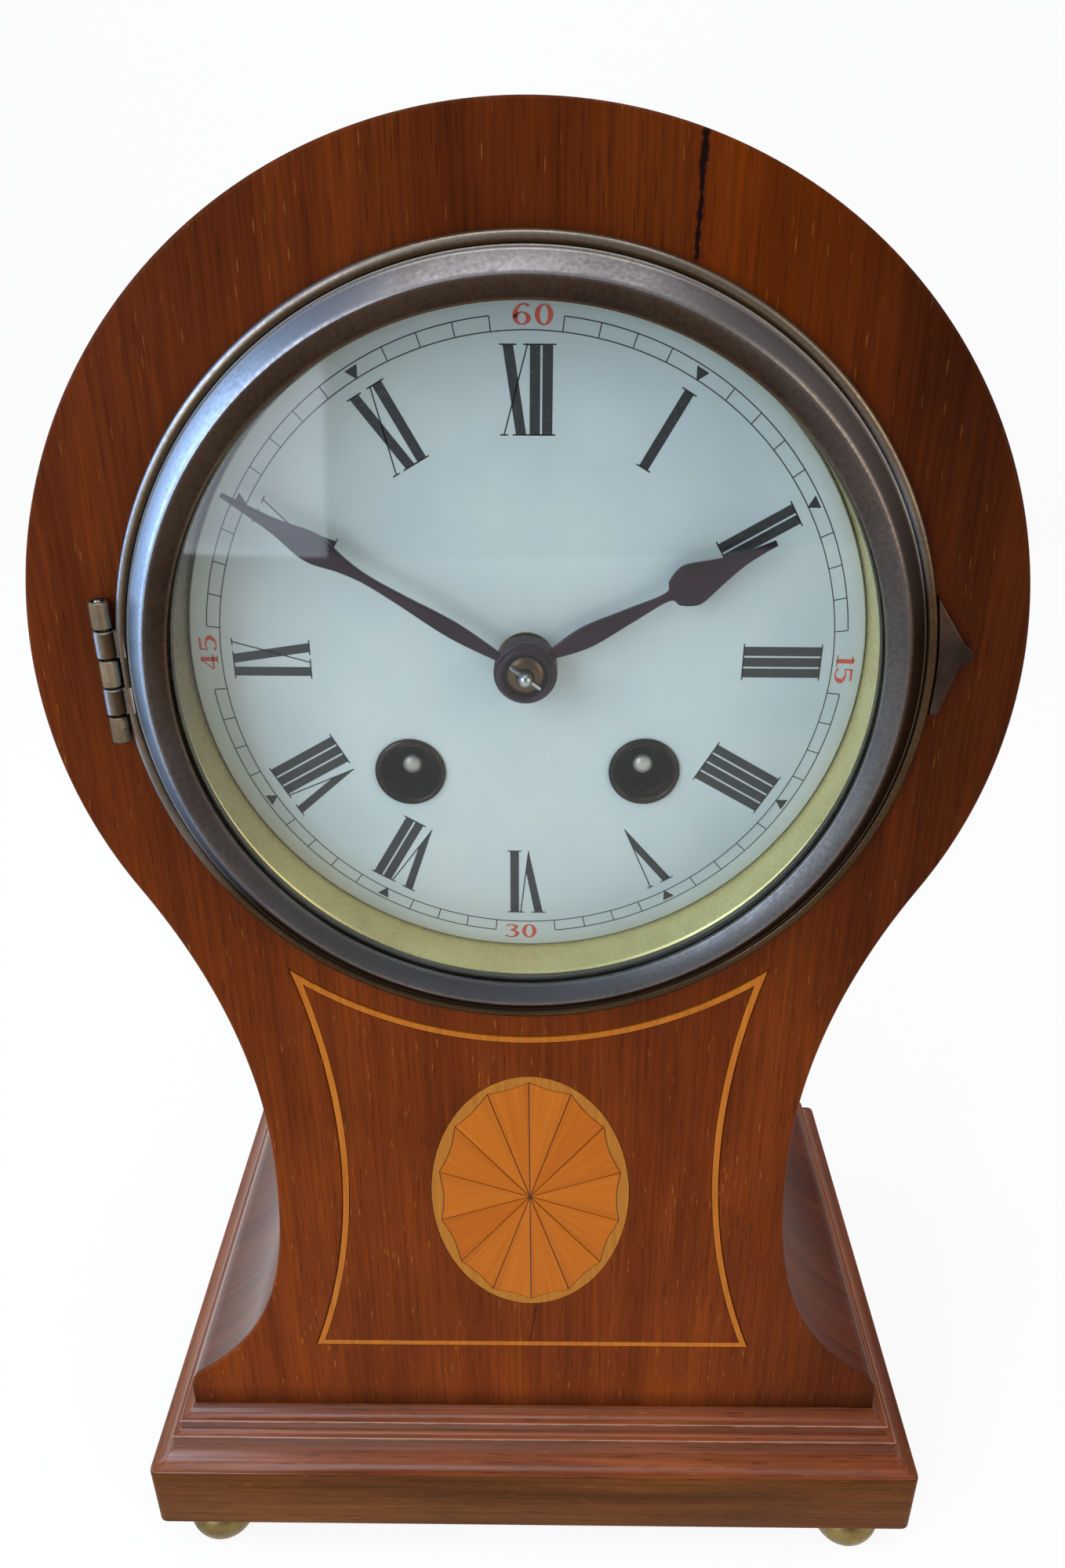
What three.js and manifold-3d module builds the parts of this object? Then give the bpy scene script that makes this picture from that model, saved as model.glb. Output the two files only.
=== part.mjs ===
// A balloon mantel clock: case, hinged bezel, dial, hands, eight-day striking movement and pendulum.
// Millimetres, +Z up, the front towards -Y, and the origin on the floor under the middle of the clock.
import * as THREE from 'three';
import { mergeVertices } from 'three/addons/utils/BufferGeometryUtils.js';
import Module from 'manifold-3d';

const wasm = await Module();
wasm.setup();

// Case sizes
const BALLOON_RADIUS = 71;
const BALLOON_RISE = 1;
const WAIST_HALF = 46.2;
const WAIST_DROP = 92;
const FLARE_HALF = 68;
const FLARE_HEIGHT = 8.4;
const FOOT_HALF = 69.5;
const FOOT_EDGE_HEIGHT = 5;
const DIAL_HEIGHT = 157;
const CASE_DEPTH = 96.5;
const CASE_WALL = 7;
const PANEL_THICK = 7;
const BACK_THICK = 5;

// Base and feet
const MOULD_HEIGHT = 10.2;
const MOULD_OVERHANG = 8.75;
const PLINTH_HEIGHT = 16.5;
const FOOT_HEIGHT = 8;
const FOOT_RADIUS = 7;
const FOOT_SIDE_INSET = 11.35;
const FOOT_END_INSET = 7.15;
const FOOT_EDGE_ROUND = 0.4;

// Inlay in the front panel
const STRING_WIDTH = 1.1;
const STRING_TOP_RADIUS = 63.5;
const STRING_WAIST_HALF = 33.9;
const STRING_WAIST_DROP = 89;
const STRING_SIDE_RADIUS = 150;
const STRING_BOTTOM_HEIGHT = 18;
const PATERA_HALF_WIDTH = 18;
const PATERA_TOP_SPACE = 8.4;
const PATERA_BOTTOM_SPACE = 11.9;
const PATERA_BORDER = 1.2;
const PATERA_RAYS = 14;
const PATERA_SCALLOP = 1;
const INLAY_THICK = 1;

// Clearances
const SEAT_GAP = 0.3;
const INLAY_GAP = 0.15;
const PIVOT_GAP = 0.35;
const HINGE_GAP = 0.4;

// Bezel, glass and hinge
const BEZEL_RADIUS = 58.2;
const BEZEL_ROLL_OUTER = 56.3;
const BEZEL_CREST_RADIUS = 53.4;
const BEZEL_PROUD = 4.8;
const BEZEL_SIGHT_RADIUS = 50.4;
const BEZEL_FLANGE_THICK = 1;
const BEZEL_BEAD_WIDTH = 0.9;
const BEZEL_BEAD_HEIGHT = 0.5;
const BEZEL_LIP_THICK = 0.6;
const BEZEL_LIP_BACK = 2.9;
const GLASS_RADIUS = 51.6;
const GLASS_THICK = 1.2;
const GLASS_RISE = 4.6;
const DOME_STEPS = 4;
const RETAINER_INNER = 50;
const RETAINER_DEPTH = 1.5;
const KNUCKLE_RADIUS = 1.4;
const KNUCKLE_LENGTH = 4.26;
const KNUCKLE_COUNT = 5;
const HINGE_PIN_RADIUS = 0.6;
const HINGE_X = 59.2;
const HINGE_PROUD = 1.7;
const HINGE_CENTRE_Z = 2.1;
const HINGE_LEAF_WIDTH = 5;
const HINGE_LEAF_THICK = 0.9;
const HINGE_LEAF_OUT = 0.9;
const HINGE_WEB_THICK = 1;
const TAB_REACH = 4.5;
const TAB_LOW = -4.7;
const TAB_TIP_Z = 4.1;
const TAB_HIGH = 12.9;
const TAB_THICK = 1.2;
const TAB_TIP_RADIUS = 1.6;
const TAB_ROOT_WIDTH = 0.9;

// Dial, its mount and the winding holes
const DIAL_DEPTH = 9;
const DIAL_THICK = 1.6;
const DIAL_RADIUS = 50.6;
const DIAL_HOLE_RADIUS = 4.3;
const MOUNT_WALL = 2.2;
const MOUNT_FRONT = 1;
const MOUNT_LIP_THICK = 2.1;
const MOUNT_SKIRT_WALL = 2.3;
const MOUNT_SKIRT_OVERHANG = 0.5;
const WINDING_X = 18.4;
const WINDING_DROP = 18.3;
const GROMMET_RADIUS = 5.6;
const GROMMET_BORE = 3.9;
const GROMMET_WALL = 0.5;
const GROMMET_FLANGE = 0.6;
const GROMMET_LENGTH = 3.4;
const GROMMET_CHAMFER = 0.3;

// Movement frame
const PLATE_RADIUS = 45;
const PLATE_THICK = 2.2;
const PLATE_FRONT = 18;
const PLATE_SPACE = 29.8;
const PILLAR_CIRCLE = 39;
const PILLAR_RADIUS = 2.6;
const PILLAR_END_RADIUS = 3.4;
const PILLAR_ANGLES = [30, 90, 150, 270];
const STRAP_WIDTH = 9;
const STRAP_THICK = 2;

// Wheel work: tooth counts, and modules of each pair
const GREAT_TEETH = 42;
const GREAT_PINION = 7;
const GREAT_MODULE = 0.74;
const INTER_TEETH = 42;
const CENTRE_PINION = 7;
const INTER_MODULE = 0.657;
const CENTRE_TEETH = 60;
const THIRD_PINION = 6;
const CENTRE_MODULE = 0.36;
const THIRD_TEETH = 60;
const ESCAPE_PINION = 6;
const THIRD_MODULE = 0.33;
const ESCAPE_TEETH = 45;
const ESCAPE_RADIUS = 8;
const ESCAPE_TOOTH = 1.3;
const SECOND_TEETH = 35;
const PIN_PINION = 7;
const SECOND_MODULE = 0.62;
const PIN_TEETH = 36;
const FLY_PINION = 6;
const PIN_MODULE = 0.44;
const CANNON_TEETH = 10;
const MINUTE_TEETH = 30;
const CANNON_MODULE = 0.6;
const MINUTE_PINION = 8;
const HOUR_TEETH = 32;
const HOUR_MODULE = 0.6;
const RATCHET_TEETH = 20;
const RATCHET_RADIUS = 6.5;
const RATCHET_TOOTH = 0.8;
const WHEEL_THICK = 1.4;
const PINION_MARGIN = 0.4;
const ESCAPE_THICK = 1;

// Depths of the wheels, from the plate or the dial mount that each runs beside
const INTER_SPACE = 1.2;
const CENTRE_SPACE = 5.2;
const THIRD_SPACE = 12.8;
const PIN_SPACE = 17.8;
const FLY_SPACE = 3.8;
const ESCAPE_SPACE = 4.8;
const HOUR_SPACE = 1.1;
const MINUTE_SPACE = 3;

// Arbors, pipes and barrels
const ARBOR_RADIUS = 0.9;
const FINE_ARBOR_RADIUS = 0.5;
const CENTRE_ARBOR_RADIUS = 1.1;
const CANNON_PIPE_RADIUS = 2.35;
const HOUR_PIPE_RADIUS = 3.65;
const WINDING_ARBOR_RADIUS = 2.2;
const WINDING_SQUARE = 2.8;
const WINDING_TIP_DEPTH = 12;
const BARREL_RADIUS = 13.6;
const BARREL_LENGTH = 17.4;
const BARREL_FRONT_SPACE = 4.4;
const STUD_RADIUS = 1;
const CLICK_HUB_RADIUS = 1.9;
const CLICK_THICK = 1.4;
const CLICK_PIVOT = [9, -6];
const CLICK_NOSE = [7.6, 1];
const CLICK_NOSE_RADIUS = 0.6;
const CLICK_NECK = 75;

// Hands
const HAND_THICK = 0.8;
const HAND_BOSS_RADIUS = 4.7;
const HAND_BORE_GAP = 0.25;
const PIPE_PROUD = 0.25;
const MINUTE_HAND_DEPTH = 3.2;
const MINUTE_HAND_LENGTH = 49;
const MINUTE_HAND_ANGLE = 301.8;
const HOUR_HAND_DEPTH = 5.6;
const HOUR_HAND_LENGTH = 40;
const HOUR_HAND_ANGLE = 62.8;
const MINUTE_HAND_EDGE = [[0.6, 4.6], [1.2, 12.3], [0.75, 21.2], [0.62, 26.4], [1.05, 30.2], [2.1, 35.1],
  [1.1, 40.4], [0.65, 44.4], [0.25, MINUTE_HAND_LENGTH]];
const HOUR_HAND_EDGE = [[0.75, 4.6], [1.6, 10], [1.05, 17], [0.6, 23], [1.9, 24.2], [2.9, 26], [3, 27.6],
  [1.8, 31.4], [0.8, 35.3], [0.35, HOUR_HAND_LENGTH]];
const COLLET_RADIUS = 2.8;
const COLLET_THICK = 0.9;
const COLLET_RIM = 0.4;
const COLLET_SLOPE = 0.7;
const ARBOR_TIP_DEPTH = 0.5;
const TAPER_PIN_RADIUS = 0.4;
const TAPER_PIN_LENGTH = 5.6;
const TAPER_PIN_ANGLE = -38;
const TAPER_PIN_GAP = 0.15;

// Escapement, pendulum, bell and hammer
const PALLET_GAP = 0.8;
const PALLET_BAND = 2;
const PALLET_SPAN = 52;
const PALLET_ARBOR_RISE = 11.3;
const PALLET_HUB_RADIUS = 1.6;
const PALLET_MARGIN = 0.2;
const CRUTCH_SPACE = 1.6;
const CRUTCH_HEAD = 1.4;
const CRUTCH_PRONG = 1;
const CRUTCH_YOKE = 2;
const CRUTCH_LENGTH = 28;
const CRUTCH_WIDTH = 2.4;
const CRUTCH_THICK = 1.2;
const PENDULUM_DEPTH = 60;
const PENDULUM_LENGTH = 150;
const PENDULUM_ROD_RADIUS = 0.9;
const ROD_BLOCK_RADIUS = 2;
const ROD_BLOCK_LENGTH = 3.4;
const ROD_BLOCK_TAPER = 0.6;
const ROD_TAIL = 7;
const RATING_NUT_RADIUS = 3;
const RATING_NUT_THICK = 2.4;
const SPRING_THICK = 0.5;
const SPRING_WIDTH = 4;
const SPRING_BELOW = 5.8;
const SPRING_ABOVE = 5.7;
const BOB_RADIUS = 13;
const BOB_THICK = 8;
const BOB_RIM = 2.4;
const BOB_SHOULDER = 0.8;
const COCK_HALF_WIDTH = 3;
const COCK_FOOT_HALF_WIDTH = 8;
const COCK_HEIGHT = 3.5;
const COCK_FOOT_THICK = 1.4;
const COCK_RISE = 4.2;
const COCK_FOOT_RISE = 10;
const COCK_END = 1.6;
const COCK_SLIT_GAP = 0.5;
const BELL_RADIUS = 28;
const BELL_DEPTH = 16.4;
const BELL_WALL = 1.5;
const BELL_FRONT = 66.6;
const BELL_STAND_X = 31;
const BELL_POST_RADIUS = 2.2;
const BELL_HOLE_RADIUS = 1.9;
const BELL_STUD_PROUD = 2;
const BELL_ARM_HALF = 2;
const BELL_ARM_END = 3;
const BELL_ARM_THICK = 2;
const HAMMER_PIVOT = [-36, -12];
const HAMMER_HEAD = [-32.4, 4];
const HAMMER_HEAD_RADIUS = 3;
const HAMMER_HEAD_LENGTH = 8;
const HAMMER_DEPTH = 77;
const HAMMER_STEM_HALF = 0.9;
const HAMMER_STEM_TAIL = 1.4;
const HAMMER_ARBOR_END = 1.5;
const FLY_HALF_WIDTH = 6.5;
const FLY_LENGTH = 7.5;
const FLY_THICK = 0.6;

// Back opening and door
const BACK_HOLE_RADIUS = 44;
const BACK_TUBE_WALL = 2;
const BACK_RING_RADIUS = 49;
const BACK_RING_THICK = 1.5;
const DOOR_RADIUS = 48;
const DOOR_THICK = 1.5;
const DOOR_DISH = 2.2;
const DOOR_DISH_RADIUS = 34.6;
const DOOR_DISH_SLOPE = 3.8;
const DOOR_DISH_HOLLOW = 1.3;
const DOOR_GRIP_REACH = 3.2;
const DOOR_GRIP_HALF = 4;
const DOOR_WEB_THICK = 1.2;
const WEB_OVERLAP = 2;
const DOOR_HINGE_X = 51.4;
const DOOR_KNUCKLE_LENGTH = 6;

// Places worked out from the sizes above
const PLINTH_TOP = FOOT_HEIGHT + PLINTH_HEIGHT;
const CASE_BOTTOM = PLINTH_TOP + MOULD_HEIGHT;
const DIAL_Z = CASE_BOTTOM + DIAL_HEIGHT;
const FLARE_DROP = DIAL_HEIGHT - FLARE_HEIGHT;
const FOOT_EDGE_DROP = DIAL_HEIGHT - FOOT_EDGE_HEIGHT;
const STRING_BOTTOM_DROP = DIAL_HEIGHT - STRING_BOTTOM_HEIGHT;
const PATERA_TOP_DROP = STRING_TOP_RADIUS + PATERA_TOP_SPACE;
const PATERA_HALF_HEIGHT = (STRING_BOTTOM_DROP - PATERA_BOTTOM_SPACE - PATERA_TOP_DROP) / 2;
const PATERA_DROP = PATERA_TOP_DROP + PATERA_HALF_HEIGHT;
const BASE_FRONT = -MOULD_OVERHANG;
const BASE_BACK = CASE_DEPTH + MOULD_OVERHANG;
const BASE_HALF = FOOT_HALF + MOULD_OVERHANG;
const MIDDLE_Y = (BASE_FRONT + BASE_BACK) / 2;
const BACK_INNER = CASE_DEPTH - BACK_THICK;
const MOUNT_OUTER = DIAL_RADIUS + SEAT_GAP + MOUNT_WALL;
const PANEL_HOLE = MOUNT_OUTER + SEAT_GAP;
const DIAL_BACK = DIAL_DEPTH + DIAL_THICK;
const MOUNT_LIP = DIAL_BACK + SEAT_GAP;
const PLATE_INNER = PLATE_FRONT + PLATE_THICK;
const BACK_PLATE = PLATE_INNER + PLATE_SPACE;
const BACK_PLATE_OUTER = BACK_PLATE + PLATE_THICK;
const PIVOT_FRONT = PLATE_FRONT + SEAT_GAP;
const PIVOT_BACK = BACK_PLATE_OUTER - SEAT_GAP;
const BARREL_FRONT = PLATE_INNER + BARREL_FRONT_SPACE;
const GREAT_DEPTH = BARREL_FRONT + BARREL_LENGTH;
const INTER_DEPTH = PLATE_INNER + INTER_SPACE;
const CENTRE_DEPTH = PLATE_INNER + CENTRE_SPACE;
const THIRD_DEPTH = PLATE_INNER + THIRD_SPACE;
const PIN_DEPTH = PLATE_INNER + PIN_SPACE;
const ESCAPE_DEPTH = BACK_PLATE - ESCAPE_SPACE;
const FLY_DEPTH = PLATE_INNER + FLY_SPACE;
const HOUR_DEPTH = MOUNT_LIP + HOUR_SPACE;
const MINUTE_DEPTH = PLATE_FRONT - MINUTE_SPACE;
const HAND_SETTING = CANNON_MODULE * (CANNON_TEETH + MINUTE_TEETH) / 2;

// Colours of the finishes
const MAHOGANY = { color: 0x6a2c14, roughness: 0.38, metalness: 0 };
const DARK_WOOD = { color: 0x4d2111, roughness: 0.5, metalness: 0 };
const BOXWOOD = { color: 0xc98a45, roughness: 0.45, metalness: 0 };
const BRASS = { color: 0xb8974f, roughness: 0.3, metalness: 1 };
const OLD_BRASS = { color: 0x8d7a5a, roughness: 0.4, metalness: 1 };
const STEEL = { color: 0x8b8f94, roughness: 0.35, metalness: 1 };
const BLUED_STEEL = { color: 0x3a2a30, roughness: 0.4, metalness: 0.8 };
const ENAMEL = { color: 0xe6e8ea, roughness: 0.18, metalness: 0 };
const GLASS = { color: 0xdfe8ea, roughness: 0.03, metalness: 0 };
const BELL_METAL = { color: 0x9a9a8c, roughness: 0.3, metalness: 1 };

const clock = new THREE.Group();
clock.position.y = -MIDDLE_Y;
const atFloor = new THREE.Group();
const atDial = new THREE.Group();
atDial.position.z = DIAL_Z;
clock.add(atFloor, atDial);

function piece(parent, name, geometry, finish) {
  const mesh = new THREE.Mesh(geometry, new THREE.MeshStandardMaterial(finish));
  mesh.name = name;
  parent.add(mesh);
  return mesh;
}

// Joins and cuts

function signedVolume(position, index) {
  const a = new THREE.Vector3();
  const b = new THREE.Vector3();
  const c = new THREE.Vector3();
  let volume = 0;
  for (let i = 0; i < index.length; i += 3) {
    a.fromBufferAttribute(position, index[i]);
    b.fromBufferAttribute(position, index[i + 1]);
    c.fromBufferAttribute(position, index[i + 2]);
    volume += a.dot(b.cross(c)) / 6;
  }
  return volume;
}

// A geometry with its shared points merged, no empty triangles, and its faces pointing out.
function closed(geometry) {
  const bare = geometry.clone();
  bare.deleteAttribute('normal');
  bare.deleteAttribute('uv');
  const merged = mergeVertices(bare, 1e-4);
  const old = merged.index.array;
  const index = [];
  for (let i = 0; i < old.length; i += 3) {
    const [a, b, c] = [old[i], old[i + 1], old[i + 2]];
    if (a !== b && b !== c && c !== a) index.push(a, b, c);
  }
  if (signedVolume(merged.attributes.position, index) < 0) index.reverse();
  merged.setIndex(index);
  return merged;
}

function toSolid(geometry) {
  const merged = closed(geometry);
  return new wasm.Manifold(new wasm.Mesh({
    numProp: 3,
    vertProperties: new Float32Array(merged.attributes.position.array),
    triVerts: new Uint32Array(merged.index.array),
  }));
}

function toGeometry(solid) {
  const mesh = solid.getMesh();
  const geometry = new THREE.BufferGeometry();
  geometry.setAttribute('position', new THREE.BufferAttribute(new Float32Array(mesh.vertProperties), 3));
  geometry.setIndex([...mesh.triVerts]);
  return geometry;
}

function join(first, ...others) {
  return toGeometry(others.reduce((sum, other) => sum.add(toSolid(other)), toSolid(first)));
}

function cut(first, ...others) {
  return toGeometry(others.reduce((rest, other) => rest.subtract(toSolid(other)), toSolid(first)));
}

// Basic solids: x to the right, y the depth from the panel's front, z up

function box(x0, x1, y0, y1, z0, z1) {
  const geometry = new THREE.BoxGeometry(x1 - x0, y1 - y0, z1 - z0);
  return closed(geometry.translate((x0 + x1) / 2, (y0 + y1) / 2, (z0 + z1) / 2));
}

// A solid turned about the depth axis from a closed profile of [radius, depth] points.
function turned(profile, segments = 40) {
  const points = profile.map(([radius, depth]) => new THREE.Vector2(radius, depth));
  const ends = [points[0], points[points.length - 1]];
  if (ends.some((end) => end.x > 0)) points.push(points[0].clone());
  return closed(new THREE.LatheGeometry(points, segments));
}

// A round rod along the depth axis at [x, z].
function rod([x, z], radius, y0, y1, segments = 8) {
  const geometry = turned([[0, y0], [radius, y0], [radius, y1], [0, y1]], segments);
  return geometry.translate(x, 0, z);
}

// An upright solid turned about a vertical axis at x, y from [radius, height] points.
function upright(x, y, profile, segments = 16) {
  return turned(profile, segments).rotateX(Math.PI / 2).translate(x, y, 0);
}

// An outline of [x, z] points, with holes, made as thick as the depths y0 to y1.
function plate(outline, y0, y1, holes = []) {
  const ring = (points, clockwise) => {
    const flat = points.map(([x, z]) => new THREE.Vector2(x, z));
    return THREE.ShapeUtils.isClockWise(flat) === clockwise ? flat : flat.reverse();
  };
  const shape = new THREE.Shape(ring(outline, false));
  shape.holes = holes.map((hole) => new THREE.Path(ring(hole, true)));
  const geometry = new THREE.ExtrudeGeometry(shape, { depth: y1 - y0, bevelEnabled: false });
  return closed(geometry.rotateX(Math.PI / 2).translate(0, y1, 0));
}

// Points and places

function radians(degrees) {
  return degrees * Math.PI / 180;
}

function arc([x, z], radius, from, to, steps) {
  return Array.from({ length: steps + 1 }, (_, i) => {
    const angle = from + (to - from) * i / steps;
    return [x + radius * Math.cos(angle), z + radius * Math.sin(angle)];
  });
}

function circle(centre, radius, steps) {
  return arc(centre, radius, 0, 2 * Math.PI, steps).slice(0, steps);
}

function polar([x, z], radius, degrees) {
  return [x + radius * Math.cos(radians(degrees)), z + radius * Math.sin(radians(degrees))];
}

function angleTo([x0, z0], [x1, z1]) {
  return Math.atan2(z1 - z0, x1 - x0);
}

// Where circles about two points cross, on the left of the line from the first to the second, or the right.
function crossing([x0, z0], r0, [x1, z1], r1, side) {
  const apart = Math.hypot(x1 - x0, z1 - z0);
  const along = (r0 * r0 - r1 * r1 + apart * apart) / (2 * apart);
  const off = side * Math.sqrt(r0 * r0 - along * along);
  const ux = (x1 - x0) / apart;
  const uz = (z1 - z0) / apart;
  return [x0 + along * ux - off * uz, z0 + along * uz + off * ux];
}

function mirrored(points) {
  return [...points, ...points.slice().reverse().map(([x, z]) => [-x, z])];
}

function smooth(points, steps) {
  const curve = new THREE.SplineCurve(points.map(([x, z]) => new THREE.Vector2(x, z)));
  return curve.getPoints(steps).map((point) => [point.x, point.y]);
}

// Case outline in the dial's frame: the round head flows into one long neck arc, then sweeps out to a foot.

function caseOutline() {
  const head = [0, BALLOON_RISE];
  const neckRadius = (WAIST_HALF ** 2 + WAIST_DROP ** 2 - BALLOON_RADIUS ** 2)
    / (2 * (BALLOON_RADIUS - WAIST_HALF));
  const neck = [WAIST_HALF + neckRadius, BALLOON_RISE - WAIST_DROP];
  const meet = angleTo(head, neck);
  const waist = [WAIST_HALF, neck[1]];
  const flare = [FLARE_HALF, -FLARE_DROP];
  const fall = waist[1] - flare[1];
  const sweep = new THREE.CubicBezierCurve(
    new THREE.Vector2(...waist),
    new THREE.Vector2(WAIST_HALF, waist[1] - 0.54 * fall),
    new THREE.Vector2(WAIST_HALF + 0.27 * (FLARE_HALF - WAIST_HALF), waist[1] - 0.81 * fall),
    new THREE.Vector2(...flare),
  );
  const half = [
    ...arc(head, BALLOON_RADIUS, Math.PI / 2, meet, 18),
    ...arc(neck, neckRadius, Math.PI + meet, Math.PI, 7).slice(1),
    ...sweep.getPoints(9).slice(1).map((point) => [point.x, point.y]),
    [FOOT_HALF - FOOT_EDGE_ROUND, (-FLARE_DROP - FOOT_EDGE_DROP) / 2],
    [FOOT_HALF, -FOOT_EDGE_DROP],
    [FOOT_HALF, -DIAL_HEIGHT],
  ];
  return mirrored(half.slice(1)).concat([half[0]]);
}

// The hollow inside the case: a round chamber over a straight channel that is open to the base.
function hollowOutline() {
  const channel = WAIST_HALF - CASE_WALL;
  const chamber = BALLOON_RADIUS - CASE_WALL;
  const start = -Math.acos(channel / chamber);
  const half = arc([0, BALLOON_RISE], chamber, Math.PI / 2, start, 14);
  return mirrored([...half.slice(1), [channel, -DIAL_HEIGHT - 1]]).concat([half[0]]);
}

function stringOutline(inset) {
  const side = [STRING_WAIST_HALF + STRING_SIDE_RADIUS, -STRING_WAIST_DROP];
  const sideRadius = STRING_SIDE_RADIUS + inset;
  const topRadius = STRING_TOP_RADIUS + inset;
  const bottom = -STRING_BOTTOM_DROP + inset;
  const corner = crossing([0, 0], topRadius, side, sideRadius, -1);
  const low = [side[0] - Math.sqrt(sideRadius ** 2 - (bottom - side[1]) ** 2), bottom];
  const top = arc([0, 0], topRadius, -Math.PI / 2, angleTo([0, 0], corner), 6);
  const flank = arc(side, sideRadius, angleTo(side, corner), 2 * Math.PI + angleTo(side, low), 6);
  return mirrored([...top.slice(1), ...flank.slice(1)]).concat([top[0]]);
}

function ovalOutline(inset) {
  return circle([0, 0], 1, 28).map(([x, z]) => [
    x * (PATERA_HALF_WIDTH - inset),
    z * (PATERA_HALF_HEIGHT - inset) - PATERA_DROP,
  ]);
}

// The fan's edge: an oval whose rays end in points, with a hollow scallop between each two.
function fanOutline(inset) {
  const steps = 4;
  const count = PATERA_RAYS * steps;
  return Array.from({ length: count }, (_, i) => {
    const angle = 2 * Math.PI * (i / count) + Math.PI / 2;
    const hollow = PATERA_SCALLOP * Math.sin(Math.PI * (i % steps) / steps);
    const edge = PATERA_BORDER + inset + hollow;
    return [
      Math.cos(angle) * (PATERA_HALF_WIDTH - edge),
      Math.sin(angle) * (PATERA_HALF_HEIGHT - edge) - PATERA_DROP,
    ];
  });
}

// Case

const HINGE_LENGTH = KNUCKLE_LENGTH * KNUCKLE_COUNT;
const HINGE_LOW = HINGE_CENTRE_Z - HINGE_LENGTH / 2;
const HINGE_HIGH = HINGE_CENTRE_Z + HINGE_LENGTH / 2;
const LEAF_LEFT = -HINGE_X - HINGE_LEAF_OUT;
const LEAF_RIGHT = LEAF_LEFT + HINGE_LEAF_WIDTH;

function makeCase() {
  const outline = caseOutline();
  const board = plate(outline, 0, PANEL_THICK, [circle([0, 0], PANEL_HOLE, 40)]);
  const recess = INLAY_THICK + INLAY_GAP;
  const stringBed = plate(stringOutline(-INLAY_GAP), -1, recess, [stringOutline(STRING_WIDTH + INLAY_GAP)]);
  const pateraBed = plate(ovalOutline(-INLAY_GAP), -1, recess);
  const leafBed = box(LEAF_LEFT - SEAT_GAP, LEAF_RIGHT + SEAT_GAP, -1, HINGE_LEAF_THICK + 2 * SEAT_GAP,
    HINGE_LOW - SEAT_GAP, HINGE_HIGH + SEAT_GAP);
  piece(atDial, 'front_panel', cut(board, stringBed, pateraBed, leafBed), MAHOGANY);
  const string = plate(stringOutline(0), 0, INLAY_THICK, [stringOutline(STRING_WIDTH)]);
  piece(atDial, 'string_inlay', string, BOXWOOD);
  piece(atDial, 'patera_border', plate(ovalOutline(0), 0, INLAY_THICK, [fanOutline(0)]), BOXWOOD);
  piece(atDial, 'patera_fan', plate(fanOutline(INLAY_GAP), 0, INLAY_THICK), BOXWOOD);
  const block = plate(outline, PANEL_THICK, BACK_INNER);
  const hollow = plate(hollowOutline(), PANEL_THICK - 1, BACK_INNER + 1);
  piece(atDial, 'case_body', cut(block, hollow), MAHOGANY);
  const backHole = circle([0, 0], BACK_HOLE_RADIUS, 32);
  piece(atDial, 'back_board', plate(outline, BACK_INNER, CASE_DEPTH, [backHole]), DARK_WOOD);
}

// A cove's section between two [reach, drop] points, upright at its start and level at its end.
function cove(start, end, steps) {
  const quarter = arc([0, 0], 1, Math.PI, Math.PI / 2, steps);
  const wide = end[0] - start[0];
  const high = end[1] - start[1];
  return quarter.map(([out, rise]) => [end[0] + out * wide, start[1] + rise * high]);
}

// The base moulding's section from its top, as shares of its overhang and height:
// a cove, a flat edge, a small cove, and a long cove down to the plinth.
function mouldSection() {
  const upper = cove([0.03, 0], [0.31, 0.19], 4);
  const small = cove([0.32, 0.4], [0.5, 0.46], 2);
  const long = cove([0.5, 0.5], [0.985, 0.97], 6);
  return [...upper, [0.32, 0.21], ...small, ...long, [1, 1]];
}

function makeBase() {
  const rings = mouldSection().map(([out, drop]) => {
    const reach = out * MOULD_OVERHANG;
    return { reach, z: CASE_BOTTOM - drop * MOULD_HEIGHT };
  });
  const points = [];
  const faces = [];
  for (const { reach, z } of rings) {
    const [left, right] = [-FOOT_HALF - reach, FOOT_HALF + reach];
    const [front, back] = [-reach, CASE_DEPTH + reach];
    points.push([left, front, z], [right, front, z], [right, back, z], [left, back, z]);
  }
  for (let ring = 0; ring < rings.length - 1; ring += 1) {
    for (let side = 0; side < 4; side += 1) {
      const [a, b] = [ring * 4 + side, ring * 4 + (side + 1) % 4];
      faces.push(a, a + 4, b, b, a + 4, b + 4);
    }
  }
  const last = (rings.length - 1) * 4;
  faces.push(0, 1, 2, 0, 2, 3, last, last + 2, last + 1, last, last + 3, last + 2);
  const moulding = new THREE.BufferGeometry();
  moulding.setAttribute('position', new THREE.BufferAttribute(new Float32Array(points.flat()), 3));
  moulding.setIndex(faces);
  piece(atFloor, 'base_moulding', closed(moulding), MAHOGANY);
  const plinth = box(-BASE_HALF, BASE_HALF, BASE_FRONT, BASE_BACK, FOOT_HEIGHT, PLINTH_TOP);
  piece(atFloor, 'plinth', plinth, MAHOGANY);
  const bun = [[0, 0], [0.62, 0], [0.92, 0.28], [1, 0.55], [0.9, 0.82], [0.7, 1], [0, 1]]
    .map(([radius, height]) => [radius * FOOT_RADIUS, height * FOOT_HEIGHT]);
  for (const [x, side] of [[-1, 'left'], [1, 'right']]) {
    for (const [y, end] of [[BASE_FRONT + FOOT_END_INSET, 'front'], [BASE_BACK - FOOT_END_INSET, 'back']]) {
      const foot = upright(x * (BASE_HALF - FOOT_SIDE_INSET), y, bun, 14);
      piece(atFloor, `foot_${end}_${side}`, foot, OLD_BRASS);
    }
  }
}

// Bezel door with its glass, tab and hinge

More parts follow.
